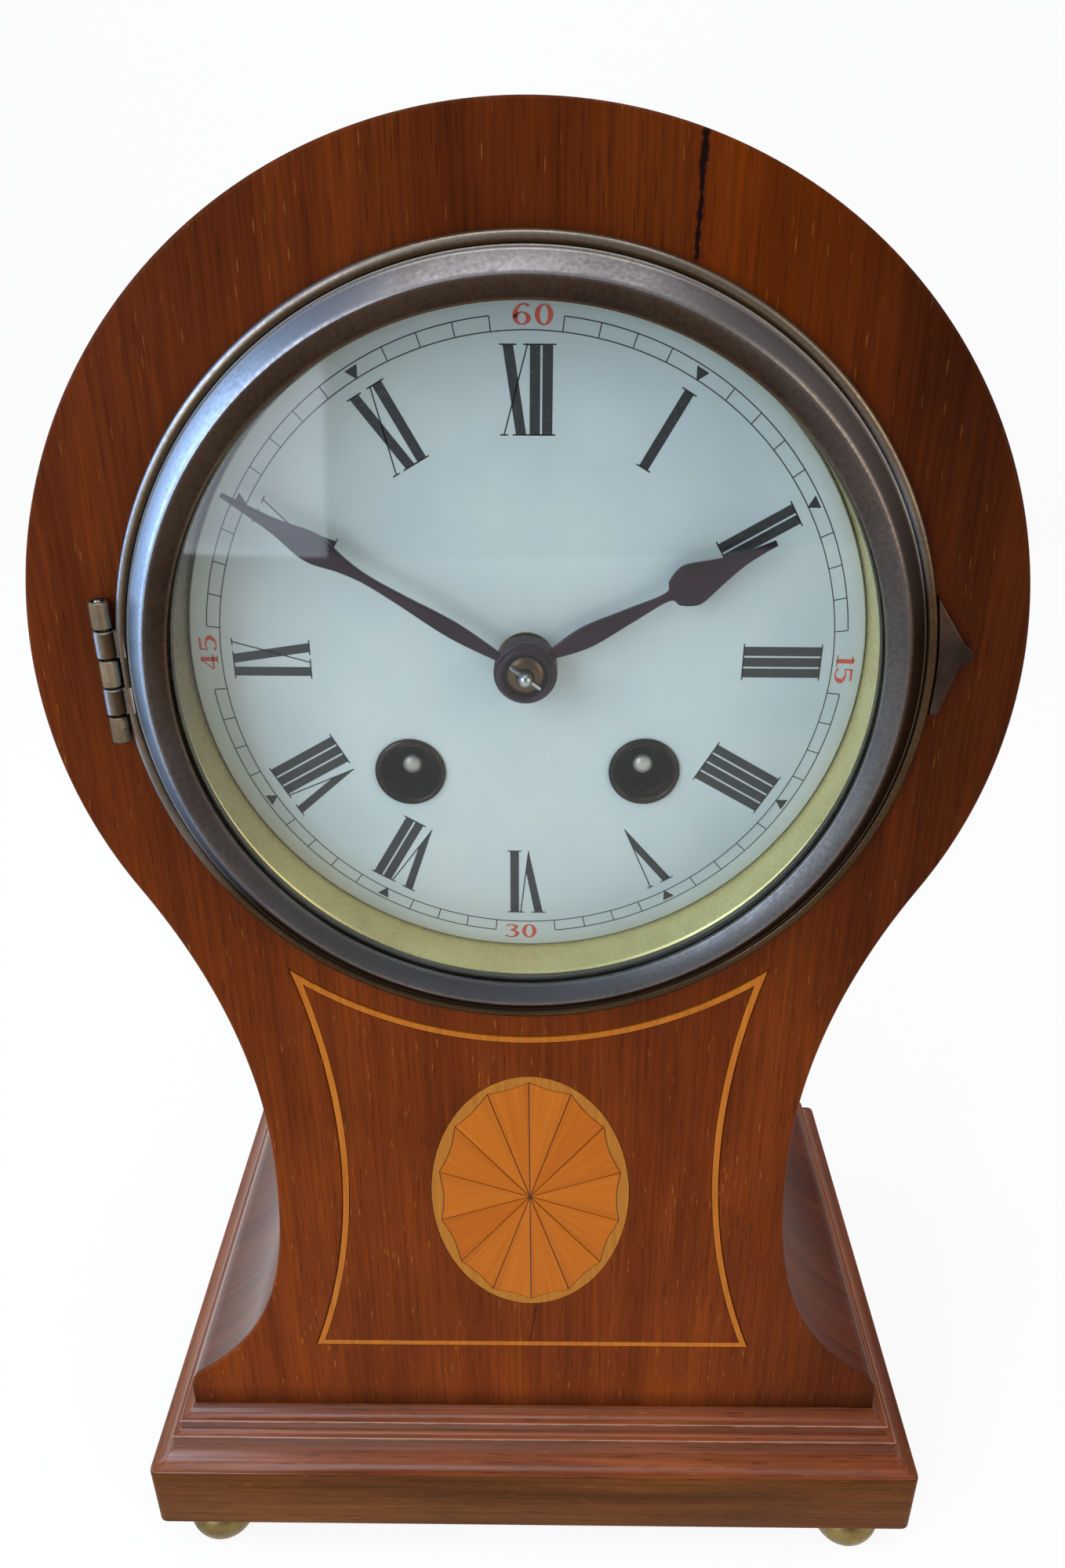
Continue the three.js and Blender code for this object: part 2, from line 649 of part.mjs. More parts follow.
function upRod(x, y, radius, z0, z1, segments = 10) {
  return upright(x, y, [[0, z0], [radius, z0], [radius, z1], [0, z1]], segments);
}

// Knuckles of one leaf, each with the web that ties it to its leaf or ring.
function knuckles(first, web) {
  const parts = [];
  for (let k = first; k < KNUCKLE_COUNT; k += 2) {
    const low = HINGE_LOW + k * KNUCKLE_LENGTH + SEAT_GAP / 2;
    const high = low + KNUCKLE_LENGTH - SEAT_GAP;
    parts.push(upRod(-HINGE_X, -HINGE_PROUD, KNUCKLE_RADIUS, low, high));
    parts.push(box(web.x0, web.x1, web.y0, web.y1, low, high));
  }
  return parts;
}

function makeBezel() {
  const back = -SEAT_GAP;
  const flange = back - BEZEL_FLANGE_THICK;
  const lip = -BEZEL_LIP_BACK - BEZEL_LIP_THICK;
  const rebate = GLASS_RADIUS + SEAT_GAP;
  const quarter = arc([0, 0], 1, 0, Math.PI / 2, 4);
  const outerSide = quarter.map(([out, up]) => [
    BEZEL_CREST_RADIUS + out * (BEZEL_ROLL_OUTER - BEZEL_CREST_RADIUS),
    flange - up * (BEZEL_PROUD + flange),
  ]);
  const innerSide = quarter.slice(0, -1).reverse().map(([out, up]) => [
    BEZEL_CREST_RADIUS - out * (BEZEL_CREST_RADIUS - BEZEL_SIGHT_RADIUS),
    lip - up * (BEZEL_PROUD + lip),
  ]);
  const ring = turned([
    [BEZEL_RADIUS, back],
    [BEZEL_RADIUS, flange],
    [BEZEL_RADIUS - BEZEL_BEAD_WIDTH, flange - BEZEL_BEAD_HEIGHT],
    ...outerSide,
    ...innerSide,
    [BEZEL_SIGHT_RADIUS, -BEZEL_LIP_BACK],
    [rebate, -BEZEL_LIP_BACK],
    [rebate, back],
  ], 40);
  const clearRadius = KNUCKLE_RADIUS + HINGE_GAP;
  const notch = upRod(-HINGE_X, -HINGE_PROUD, clearRadius, HINGE_LOW - SEAT_GAP, HINGE_HIGH + SEAT_GAP);
  const boreRadius = HINGE_PIN_RADIUS + SEAT_GAP;
  const bore = upRod(-HINGE_X, -HINGE_PROUD, boreRadius, HINGE_LOW - 1, HINGE_HIGH + 1, 8);
  const ringWeb = { x0: -HINGE_X, x1: -BEZEL_ROLL_OUTER, y0: flange, y1: flange + HINGE_WEB_THICK };
  const door = cut(join(cut(ring, notch), ...knuckles(1, ringWeb)), bore);
  piece(atDial, 'bezel_ring', door, OLD_BRASS);

  const edge = -BEZEL_LIP_BACK + SEAT_GAP;
  const bow = (GLASS_RADIUS ** 2 + GLASS_RISE ** 2) / (2 * GLASS_RISE);
  const half = Math.asin(GLASS_RADIUS / bow);
  const clear = BEZEL_SIGHT_RADIUS - SEAT_GAP;
  const clearAngle = half * clear / GLASS_RADIUS;
  const dome = arc([0, 0], bow, 0, clearAngle, DOME_STEPS).map(([c, s]) => [s, edge - GLASS_RISE + bow - c]);
  const inner = dome.slice().reverse().map(([radius, depth]) => [radius, depth + GLASS_THICK]);
  const rim = [[dome[DOME_STEPS][0], edge], [GLASS_RADIUS, edge], [GLASS_RADIUS, edge + GLASS_THICK]];
  piece(atDial, 'glass', turned([...dome, ...rim, ...inner], 32), GLASS);

  const hold = edge + GLASS_THICK + SEAT_GAP;
  piece(atDial, 'glass_retainer', turned([
    [RETAINER_INNER, hold],
    [GLASS_RADIUS, hold],
    [GLASS_RADIUS, hold + RETAINER_DEPTH],
    [RETAINER_INNER, hold + RETAINER_DEPTH],
  ], 32), BRASS);

  const seat = BEZEL_RADIUS + SEAT_GAP;
  const low = Math.asin(TAB_LOW / seat);
  const high = Math.asin(TAB_HIGH / seat);
  const tipCentre = [seat + TAB_REACH - TAB_TIP_RADIUS, TAB_TIP_Z];
  const tip = arc(tipCentre, TAB_TIP_RADIUS, -Math.PI / 2, Math.PI / 2.4, 5);
  const root = [seat + TAB_ROOT_WIDTH, TAB_LOW];
  const tabOutline = [...arc([0, 0], seat, high, low, 6), root, ...tip];
  piece(atDial, 'lift_tab', plate(tabOutline, back - TAB_THICK, back), OLD_BRASS);

  const webHalf = KNUCKLE_RADIUS - 2 * SEAT_GAP;
  const leafWeb = {
    x0: -HINGE_X - webHalf,
    x1: -HINGE_X + webHalf,
    y0: -HINGE_PROUD,
    y1: SEAT_GAP + HINGE_LEAF_THICK / 2,
  };
  const leaf = box(LEAF_LEFT, LEAF_RIGHT, SEAT_GAP, SEAT_GAP + HINGE_LEAF_THICK, HINGE_LOW, HINGE_HIGH);
  piece(atDial, 'hinge_case_leaf', cut(join(leaf, ...knuckles(0, leafWeb)), bore), BRASS);
  const pin = upRod(-HINGE_X, -HINGE_PROUD, HINGE_PIN_RADIUS, HINGE_LOW, HINGE_HIGH, 8);
  piece(atDial, 'hinge_pin', pin, STEEL);
}

// Dial, its mount ring and the winding grommets

const WINDING = [WINDING_X, -WINDING_DROP];
const STRIKE_WINDING = [-WINDING_X, -WINDING_DROP];

function makeDial() {
  const inner = DIAL_RADIUS + SEAT_GAP;
  const skirt = PLATE_RADIUS + MOUNT_SKIRT_OVERHANG;
  piece(atDial, 'dial_mount', turned([
    [inner, MOUNT_FRONT],
    [MOUNT_OUTER, MOUNT_FRONT],
    [MOUNT_OUTER, MOUNT_LIP + MOUNT_LIP_THICK],
    [skirt, MOUNT_LIP + MOUNT_LIP_THICK],
    [skirt, PLATE_FRONT - SEAT_GAP],
    [skirt - MOUNT_SKIRT_WALL, PLATE_FRONT - SEAT_GAP],
    [skirt - MOUNT_SKIRT_WALL, MOUNT_LIP],
    [inner, MOUNT_LIP],
  ], 36), BRASS);
  const tube = GROMMET_BORE + GROMMET_WALL;
  const holes = [WINDING, STRIKE_WINDING].map((place) => circle(place, tube + SEAT_GAP, 16));
  holes.push(circle([0, 0], DIAL_HOLE_RADIUS, 16));
  piece(atDial, 'dial', plate(circle([0, 0], DIAL_RADIUS, 40), DIAL_DEPTH, DIAL_BACK, holes), ENAMEL);
  const face = DIAL_DEPTH - SEAT_GAP / 2;
  const section = [
    [GROMMET_BORE, face - GROMMET_FLANGE],
    [GROMMET_RADIUS - GROMMET_CHAMFER, face - GROMMET_FLANGE],
    [GROMMET_RADIUS, face],
    [tube, face],
    [tube, face + GROMMET_LENGTH - GROMMET_FLANGE],
    [GROMMET_BORE, face + GROMMET_LENGTH - GROMMET_FLANGE],
  ];
  for (const [[x, z], side] of [[STRIKE_WINDING, 'left'], [WINDING, 'right']]) {
    piece(atDial, `winding_grommet_${side}`, turned(section, 16).translate(x, 0, z), BLUED_STEEL);
  }
}

// Toothed outlines

// A wheel's teeth have straight flanks that meet at the root. Its first tooth points along `phase`.
function wheelOutline([x, z], teeth, module, phase) {
  const pitch = 2 * Math.PI / teeth;
  const tip = module * (teeth / 2 + 0.9);
  const root = module * (teeth / 2 - 1.5);
  return Array.from({ length: teeth }, (_, i) => {
    const at = phase + i * pitch;
    return [[root, -0.5], [tip, -0.1], [tip, 0.1]].map(([radius, share]) => [
      x + radius * Math.cos(at + share * pitch),
      z + radius * Math.sin(at + share * pitch),
    ]);
  }).flat();
}

// A pinion's leaves taper to their ends. A gap between two leaves points along `phase`.
function pinionOutline([x, z], leaves, module, phase) {
  const pitch = 2 * Math.PI / leaves;
  const middle = module * leaves / 2;
  const tip = middle + 0.65 * module;
  const root = middle - 1.25 * module;
  const section = [[root, -0.16], [tip, -0.08], [tip, 0.08], [root, 0.16]];
  return Array.from({ length: leaves }, (_, i) => {
    const at = phase + (i + 0.5) * pitch;
    return section.map(([radius, share]) => [
      x + radius * Math.cos(at + share * pitch),
      z + radius * Math.sin(at + share * pitch),
    ]);
  }).flat();
}

function pitchSum(module, first, second) {
  return module * (first + second) / 2;
}

// Arbor places, worked out from the pitch circles that have to touch

const CENTRE = [0, 0];
const GREAT_REACH = pitchSum(GREAT_MODULE, GREAT_TEETH, GREAT_PINION);
const INTER_REACH = pitchSum(INTER_MODULE, INTER_TEETH, CENTRE_PINION);
const INTER = crossing(WINDING, GREAT_REACH, CENTRE, INTER_REACH, -1);
const THIRD = polar(CENTRE, pitchSum(CENTRE_MODULE, CENTRE_TEETH, THIRD_PINION), 115);
const ESCAPE_REACH = pitchSum(THIRD_MODULE, THIRD_TEETH, ESCAPE_PINION);
const ESCAPE = [0, THIRD[1] + Math.sqrt(ESCAPE_REACH ** 2 - THIRD[0] ** 2)];
const PALLET = [0, ESCAPE[1] + PALLET_ARBOR_RISE];
const SECOND = [-INTER[0], INTER[1]];
const PIN = polar(SECOND, pitchSum(SECOND_MODULE, SECOND_TEETH, PIN_PINION), 100);
const FLY = polar(PIN, pitchSum(PIN_MODULE, PIN_TEETH, FLY_PINION), 57);
const MINUTE_STUD = [0, HAND_SETTING];

function wheel(place, teeth, module, towards, y0, bore = 0) {
  const holes = bore > 0 ? [circle(place, bore, 12)] : [];
  return plate(wheelOutline(place, teeth, module, angleTo(place, towards)), y0, y0 + WHEEL_THICK, holes);
}

// A pinion as deep as its wheel and a margin on both sides, with a gap facing the wheel's middle.
function pinion(place, leaves, module, towards, y0, bore = 0) {
  const holes = bore > 0 ? [circle(place, bore, 12)] : [];
  const outline = pinionOutline(place, leaves, module, angleTo(place, towards));
  return plate(outline, y0 - PINION_MARGIN, y0 + WHEEL_THICK + PINION_MARGIN, holes);
}

// Movement frame

function clickPivot(place, side) {
  return [place[0] + side * CLICK_PIVOT[0], place[1] + CLICK_PIVOT[1]];
}

function makeFrame() {
  const pivots = [INTER, SECOND].map((place) => circle(place, ARBOR_RADIUS + PIVOT_GAP, 8));
  const fineHole = FINE_ARBOR_RADIUS + PIVOT_GAP;
  const fine = [THIRD, ESCAPE, PALLET, PIN, FLY].map((place) => circle(place, fineHole, 8));
  const hammer = circle(HAMMER_PIVOT, ARBOR_RADIUS + PIVOT_GAP, 8);
  const windingHole = WINDING_ARBOR_RADIUS + PIVOT_GAP;
  const winders = [WINDING, STRIKE_WINDING].map((place) => circle(place, windingHole, 12));
  const centre = circle(CENTRE, CENTRE_ARBOR_RADIUS + PIVOT_GAP, 12);
  const holes = [...pivots, ...fine, ...winders, hammer, centre];
  const edge = circle([0, 0], PLATE_RADIUS, 30);
  const stud = rod(MINUTE_STUD, STUD_RADIUS, MOUNT_LIP + SEAT_GAP, PLATE_FRONT + 1);
  const clicks = [[WINDING, 1], [STRIKE_WINDING, -1]].map(([place, side]) => (
    rod(clickPivot(place, side), STUD_RADIUS, PLATE_FRONT - CLICK_THICK - 2 * SEAT_GAP, PLATE_FRONT + 1)
  ));
  piece(atDial, 'front_plate', join(plate(edge, PLATE_FRONT, PLATE_INNER, holes), stud, ...clicks), BRASS);
  piece(atDial, 'back_plate', plate(edge, BACK_PLATE, BACK_PLATE_OUTER, holes), BRASS);
  const length = PLATE_SPACE;
  const collar = 0.08 * length;
  const neck = 0.14 * length;
  const pillar = [
    [0, 0],
    [PILLAR_END_RADIUS, 0],
    [PILLAR_END_RADIUS, collar],
    [PILLAR_RADIUS, neck],
    [PILLAR_RADIUS, length - neck],
    [PILLAR_END_RADIUS, length - collar],
    [PILLAR_END_RADIUS, length],
    [0, length],
  ];
  PILLAR_ANGLES.forEach((angle, i) => {
    const [x, z] = polar([0, 0], PILLAR_CIRCLE, angle);
    piece(atDial, `plate_pillar_${i + 1}`, turned(pillar, 10).translate(x, PLATE_INNER, z), BRASS);
  });
  for (const [side, name] of [[-1, 'left'], [1, 'right']]) {
    const near = PLATE_RADIUS + 2 * SEAT_GAP;
    const [x0, x1] = side > 0 ? [near, near + STRAP_THICK] : [-near - STRAP_THICK, -near];
    const front = MOUNT_LIP + MOUNT_LIP_THICK + SEAT_GAP;
    const strap = box(x0, x1, front, BACK_INNER - SEAT_GAP, -STRAP_WIDTH / 2, STRAP_WIDTH / 2);
    piece(atDial, `case_strap_${name}`, strap, BRASS);
  }
}

// Winding: barrels, arbors with their ratchets, and the clicks that hold them

function makeWinding(place, side, train, towards) {
  const [x, z] = place;
  const bore = WINDING_ARBOR_RADIUS + PIVOT_GAP;
  const drum = turned([
    [bore, BARREL_FRONT],
    [BARREL_RADIUS, BARREL_FRONT],
    [BARREL_RADIUS, GREAT_DEPTH],
    [bore, GREAT_DEPTH],
  ], 24).translate(x, 0, z);
  const great = wheel(place, GREAT_TEETH, GREAT_MODULE, towards, GREAT_DEPTH, bore + PIVOT_GAP);
  piece(atDial, `${train}_barrel`, join(drum, great), BRASS);

  const half = WINDING_SQUARE / 2;
  const square = box(x - half, x + half, WINDING_TIP_DEPTH, PLATE_FRONT, z - half, z + half);
  const arbor = rod(place, WINDING_ARBOR_RADIUS, PLATE_FRONT - SEAT_GAP, PIVOT_BACK, 14);
  const saw = Array.from({ length: RATCHET_TEETH }, (_, i) => {
    const at = 360 * i / RATCHET_TEETH;
    return [polar(place, RATCHET_RADIUS, at), polar(place, RATCHET_RADIUS - RATCHET_TOOTH, at + side)];
  }).flat();
  const ratchet = plate(saw, PLATE_FRONT - SEAT_GAP - CLICK_THICK, PLATE_FRONT - SEAT_GAP);
  piece(atDial, `${train}_winding_arbor`, join(square, arbor, ratchet), STEEL);

  const pivot = clickPivot(place, side);
  const nose = [x + side * CLICK_NOSE[0], z + CLICK_NOSE[1]];
  const along = angleTo(pivot, nose);
  const neck = radians(CLICK_NECK);
  const arm = [
    ...arc(pivot, CLICK_HUB_RADIUS, along + neck, along + 2 * Math.PI - neck, 12),
    ...arc(nose, CLICK_NOSE_RADIUS, along - Math.PI / 2, along + Math.PI / 2, 4),
  ];
  const eye = circle(pivot, STUD_RADIUS + PIVOT_GAP, 12);
  const click = plate(arm, PLATE_FRONT - SEAT_GAP - CLICK_THICK, PLATE_FRONT - SEAT_GAP, [eye]);
  piece(atDial, `${train}_click`, click, STEEL);
}

// A tapered pin across the tip of the centre arbor, its two end radii given.
function acrossTip(thin, thick) {
  const half = TAPER_PIN_LENGTH / 2;
  return turned([[0, -half], [thin, -half], [thick, half], [0, half]], 10)
    .rotateZ(Math.PI / 2)
    .rotateY(-radians(TAPER_PIN_ANGLE))
    .translate(0, ARBOR_TIP_DEPTH + 2 * TAPER_PIN_RADIUS, 0);
}

// Going train from the intermediate wheel to the escape wheel, and the strike train to its fly

function makeTrains() {
  piece(atDial, 'intermediate_wheel', join(
    rod(INTER, ARBOR_RADIUS, PIVOT_FRONT, PIVOT_BACK),
    wheel(INTER, INTER_TEETH, INTER_MODULE, CENTRE, INTER_DEPTH),
    pinion(INTER, GREAT_PINION, GREAT_MODULE, WINDING, GREAT_DEPTH),
  ), BRASS);
  const pinHole = acrossTip(TAPER_PIN_RADIUS + TAPER_PIN_GAP, TAPER_PIN_RADIUS + TAPER_PIN_GAP);
  piece(atDial, 'centre_wheel', cut(join(
    rod(CENTRE, CENTRE_ARBOR_RADIUS, ARBOR_TIP_DEPTH, PIVOT_BACK),
    pinion(CENTRE, CENTRE_PINION, INTER_MODULE, INTER, INTER_DEPTH),
    wheel(CENTRE, CENTRE_TEETH, CENTRE_MODULE, THIRD, CENTRE_DEPTH),
  ), pinHole), BRASS);
  piece(atDial, 'third_wheel', join(
    rod(THIRD, FINE_ARBOR_RADIUS, PIVOT_FRONT, PIVOT_BACK),
    pinion(THIRD, THIRD_PINION, CENTRE_MODULE, CENTRE, CENTRE_DEPTH),
    wheel(THIRD, THIRD_TEETH, THIRD_MODULE, ESCAPE, THIRD_DEPTH),
  ), BRASS);
  const escapeTeeth = Array.from({ length: ESCAPE_TEETH }, (_, i) => {
    const at = 360 * i / ESCAPE_TEETH;
    const share = 360 / ESCAPE_TEETH;
    return [polar(ESCAPE, ESCAPE_RADIUS, at), polar(ESCAPE, ESCAPE_RADIUS - ESCAPE_TOOTH, at + 0.35 * share)];
  }).flat();
  piece(atDial, 'escape_wheel', join(
    rod(ESCAPE, FINE_ARBOR_RADIUS, PIVOT_FRONT, PIVOT_BACK),
    pinion(ESCAPE, ESCAPE_PINION, THIRD_MODULE, THIRD, THIRD_DEPTH),
    plate(escapeTeeth, ESCAPE_DEPTH, ESCAPE_DEPTH + ESCAPE_THICK),
  ), BRASS);
  piece(atDial, 'strike_second_wheel', join(
    rod(SECOND, ARBOR_RADIUS, PIVOT_FRONT, PIVOT_BACK),
    pinion(SECOND, GREAT_PINION, GREAT_MODULE, STRIKE_WINDING, GREAT_DEPTH),
    wheel(SECOND, SECOND_TEETH, SECOND_MODULE, PIN, INTER_DEPTH),
  ), BRASS);
  piece(atDial, 'strike_pin_wheel', join(
    rod(PIN, FINE_ARBOR_RADIUS, PIVOT_FRONT, PIVOT_BACK),
    pinion(PIN, PIN_PINION, SECOND_MODULE, SECOND, INTER_DEPTH),
    wheel(PIN, PIN_TEETH, PIN_MODULE, FLY, PIN_DEPTH),
  ), BRASS);
  const vane = box(FLY[0] - FLY_HALF_WIDTH, FLY[0] + FLY_HALF_WIDTH, FLY_DEPTH, FLY_DEPTH + FLY_LENGTH,
    FLY[1] - FLY_THICK / 2, FLY[1] + FLY_THICK / 2);
  piece(atDial, 'strike_fly', join(
    rod(FLY, FINE_ARBOR_RADIUS, PIVOT_FRONT, PIVOT_BACK),
    pinion(FLY, FLY_PINION, PIN_MODULE, PIN, PIN_DEPTH),
    vane,
  ), BRASS);
}

// Motion work that turns the hour hand once for twelve turns of the minute hand

function makeMotionWork() {
  const cannonBore = CENTRE_ARBOR_RADIUS + PIVOT_GAP;
  const cannonPipe = turned([
    [cannonBore, MINUTE_HAND_DEPTH - PIPE_PROUD],
    [CANNON_PIPE_RADIUS, MINUTE_HAND_DEPTH - PIPE_PROUD],
    [CANNON_PIPE_RADIUS, PLATE_FRONT - SEAT_GAP],
    [cannonBore, PLATE_FRONT - SEAT_GAP],
  ], 12);
  const teethBore = (cannonBore + CANNON_PIPE_RADIUS) / 2;
  const cannonTeeth = pinion(CENTRE, CANNON_TEETH, CANNON_MODULE, MINUTE_STUD, MINUTE_DEPTH, teethBore);
  piece(atDial, 'cannon_pinion', join(cannonPipe, cannonTeeth), STEEL);
  const studBore = STUD_RADIUS + PIVOT_GAP;
  const leaves = pinionOutline(MINUTE_STUD, MINUTE_PINION, HOUR_MODULE, angleTo(MINUTE_STUD, CENTRE));
  const stud = circle(MINUTE_STUD, studBore, 12);
  const minutePinion = plate(leaves, HOUR_DEPTH - PINION_MARGIN, MINUTE_DEPTH, [stud]);
  const minuteWheel = wheel(MINUTE_STUD, MINUTE_TEETH, CANNON_MODULE, CENTRE, MINUTE_DEPTH, studBore);
  piece(atDial, 'minute_wheel', join(minuteWheel, minutePinion), BRASS);
  const hourBore = CANNON_PIPE_RADIUS + PIVOT_GAP;
  const hourPipe = turned([
    [hourBore, HOUR_HAND_DEPTH - PIPE_PROUD],
    [HOUR_PIPE_RADIUS, HOUR_HAND_DEPTH - PIPE_PROUD],
    [HOUR_PIPE_RADIUS, HOUR_DEPTH + WHEEL_THICK],
    [hourBore, HOUR_DEPTH + WHEEL_THICK],
  ], 12);
  const wheelBore = (hourBore + HOUR_PIPE_RADIUS) / 2;
  const hourTeeth = wheel(CENTRE, HOUR_TEETH, HOUR_MODULE, MINUTE_STUD, HOUR_DEPTH, wheelBore);
  piece(atDial, 'hour_wheel', join(hourPipe, hourTeeth), BRASS);
}

// Hands: each is a boss ring and a blade whose right edge is given as [half width, radius] points

function handOutline(edge) {
  const start = Math.acos(edge[0][0] / HAND_BOSS_RADIUS);
  const blade = mirrored(smooth(edge, 18)).reverse();
  const boss = arc([0, 0], HAND_BOSS_RADIUS, start, start - (2 * start + Math.PI), 14);
  return [...boss.slice(1, -1), ...blade];
}

function makeHands() {
  const minuteBore = circle([0, 0], CANNON_PIPE_RADIUS + HAND_BORE_GAP, 12);
  const minuteOutline = handOutline(MINUTE_HAND_EDGE);
  const minute = plate(minuteOutline, MINUTE_HAND_DEPTH, MINUTE_HAND_DEPTH + HAND_THICK, [minuteBore]);
  piece(atDial, 'minute_hand', minute, BLUED_STEEL).rotation.y = radians(MINUTE_HAND_ANGLE);
  const hourBore = circle([0, 0], HOUR_PIPE_RADIUS + HAND_BORE_GAP, 12);
  const hour = plate(handOutline(HOUR_HAND_EDGE), HOUR_HAND_DEPTH, HOUR_HAND_DEPTH + HAND_THICK, [hourBore]);
  piece(atDial, 'hour_hand', hour, BLUED_STEEL).rotation.y = radians(HOUR_HAND_ANGLE);
  const back = MINUTE_HAND_DEPTH - PIPE_PROUD - SEAT_GAP;
  const bore = CENTRE_ARBOR_RADIUS + SEAT_GAP;
  piece(atDial, 'hand_collet', turned([
    [bore, back - COLLET_THICK],
    [COLLET_RADIUS - COLLET_SLOPE, back - COLLET_THICK],
    [COLLET_RADIUS, back - COLLET_RIM],
    [COLLET_RADIUS, back],
    [bore, back],
  ], 16), BRASS);
  const pin = acrossTip(0.8 * TAPER_PIN_RADIUS, TAPER_PIN_RADIUS);
  piece(atDial, 'hand_taper_pin', pin, STEEL);
}

// Escapement: the pallets stand just clear of the escape wheel, and the crutch embraces the pendulum rod

function makeEscapement() {
  const inner = ESCAPE_RADIUS + PALLET_GAP;
  const [from, to] = [radians(90 - PALLET_SPAN), radians(90 + PALLET_SPAN)];
  const band = [...arc(ESCAPE, inner + PALLET_BAND, from, to, 10), ...arc(ESCAPE, inner, to, from, 10)];
  const front = ESCAPE_DEPTH - PALLET_MARGIN;
  const back = ESCAPE_DEPTH + ESCAPE_THICK + PALLET_MARGIN;
  const anchor = plate(band, front, back);
  const hub = rod(PALLET, PALLET_HUB_RADIUS, front, back, 14);
  const crutchFront = BACK_PLATE_OUTER + CRUTCH_SPACE;
  const crutchBack = crutchFront + CRUTCH_THICK;
  const arbor = rod(PALLET, FINE_ARBOR_RADIUS, PIVOT_FRONT, crutchBack);
  const low = PALLET[1] - CRUTCH_LENGTH;
  const side = CRUTCH_WIDTH / 2;
  const strip = box(-side, side, crutchFront, crutchBack, low, PALLET[1] + CRUTCH_HEAD);
  const prong = PENDULUM_ROD_RADIUS + SEAT_GAP;
  const outer = prong + CRUTCH_PRONG;
  const yoke = box(-outer, outer, crutchFront, crutchBack, low, low + CRUTCH_YOKE);
  const prongEnd = PENDULUM_DEPTH + PENDULUM_ROD_RADIUS + CRUTCH_PRONG;
  const prongs = [[prong, outer], [-outer, -prong]].map(([x0, x1]) => (
    box(x0, x1, crutchFront + PALLET_MARGIN, prongEnd, low, low + CRUTCH_YOKE)
  ));
  piece(atDial, 'pallets_and_crutch', join(arbor, anchor, hub, strip, yoke, ...prongs), STEEL);

  const cockFront = BACK_PLATE_OUTER + SEAT_GAP;
  const cockLow = PALLET[1] + COCK_RISE;
  const foot = box(-COCK_FOOT_HALF_WIDTH, COCK_FOOT_HALF_WIDTH, cockFront, cockFront + COCK_FOOT_THICK,
    cockLow, PALLET[1] + COCK_FOOT_RISE);
  const cockBack = PENDULUM_DEPTH + SPRING_WIDTH / 2 + COCK_END;
  const arm = box(-COCK_HALF_WIDTH, COCK_HALF_WIDTH, cockFront, cockBack, cockLow, cockLow + COCK_HEIGHT);
  const slit = SPRING_THICK / 2 + COCK_SLIT_GAP;
  const slot = box(-slit, slit, PENDULUM_DEPTH - SPRING_WIDTH / 2 - SEAT_GAP,
    PENDULUM_DEPTH + SPRING_WIDTH / 2 + SEAT_GAP, cockLow - 1, cockLow + COCK_HEIGHT + 1);
  piece(atDial, 'back_cock', cut(join(foot, arm), slot), BRASS);

  const springLow = PALLET[1] - SPRING_BELOW;
  const springHigh = PALLET[1] + SPRING_ABOVE;
  const springFront = PENDULUM_DEPTH - SPRING_WIDTH / 2;
  const thin = SPRING_THICK / 2;
  const strap = box(-thin, thin, springFront, springFront + SPRING_WIDTH, springLow, springHigh);
  piece(atDial, 'suspension_spring', strap, STEEL);
  const bobZ = PALLET[1] - PENDULUM_LENGTH;
  const nutTop = bobZ - BOB_RADIUS - SEAT_GAP;
  const blockLow = springLow - ROD_BLOCK_LENGTH;
  piece(atDial, 'pendulum_rod', upright(0, PENDULUM_DEPTH, [
    [0, nutTop - ROD_TAIL],
    [PENDULUM_ROD_RADIUS, nutTop - ROD_TAIL],
    [PENDULUM_ROD_RADIUS, nutTop - RATING_NUT_THICK],
    [RATING_NUT_RADIUS, nutTop - RATING_NUT_THICK],
    [RATING_NUT_RADIUS, nutTop],
    [PENDULUM_ROD_RADIUS, nutTop],
    [PENDULUM_ROD_RADIUS, blockLow - ROD_BLOCK_TAPER],
    [ROD_BLOCK_RADIUS, blockLow],
    [ROD_BLOCK_RADIUS, springLow],
    [0, springLow],
  ], 12), BRASS);
  const half = BOB_THICK / 2;
  const shoulder = 0.6 * BOB_RADIUS;
  const lens = turned([
    [0, -half],
    [shoulder, -half + BOB_SHOULDER],
    [BOB_RADIUS, -BOB_RIM / 2],
    [BOB_RADIUS, BOB_RIM / 2],
    [shoulder, half - BOB_SHOULDER],
    [0, half],
  ], 20).translate(0, PENDULUM_DEPTH, bobZ);
  const hole = PENDULUM_ROD_RADIUS + SEAT_GAP;
  const rodHole = upRod(0, PENDULUM_DEPTH, hole, bobZ - BOB_RADIUS - 1, bobZ + BOB_RADIUS + 1);
  piece(atDial, 'pendulum_bob', cut(lens, rodHole), BRASS);
}

// Bell on its stand, and the hammer that strikes its rim

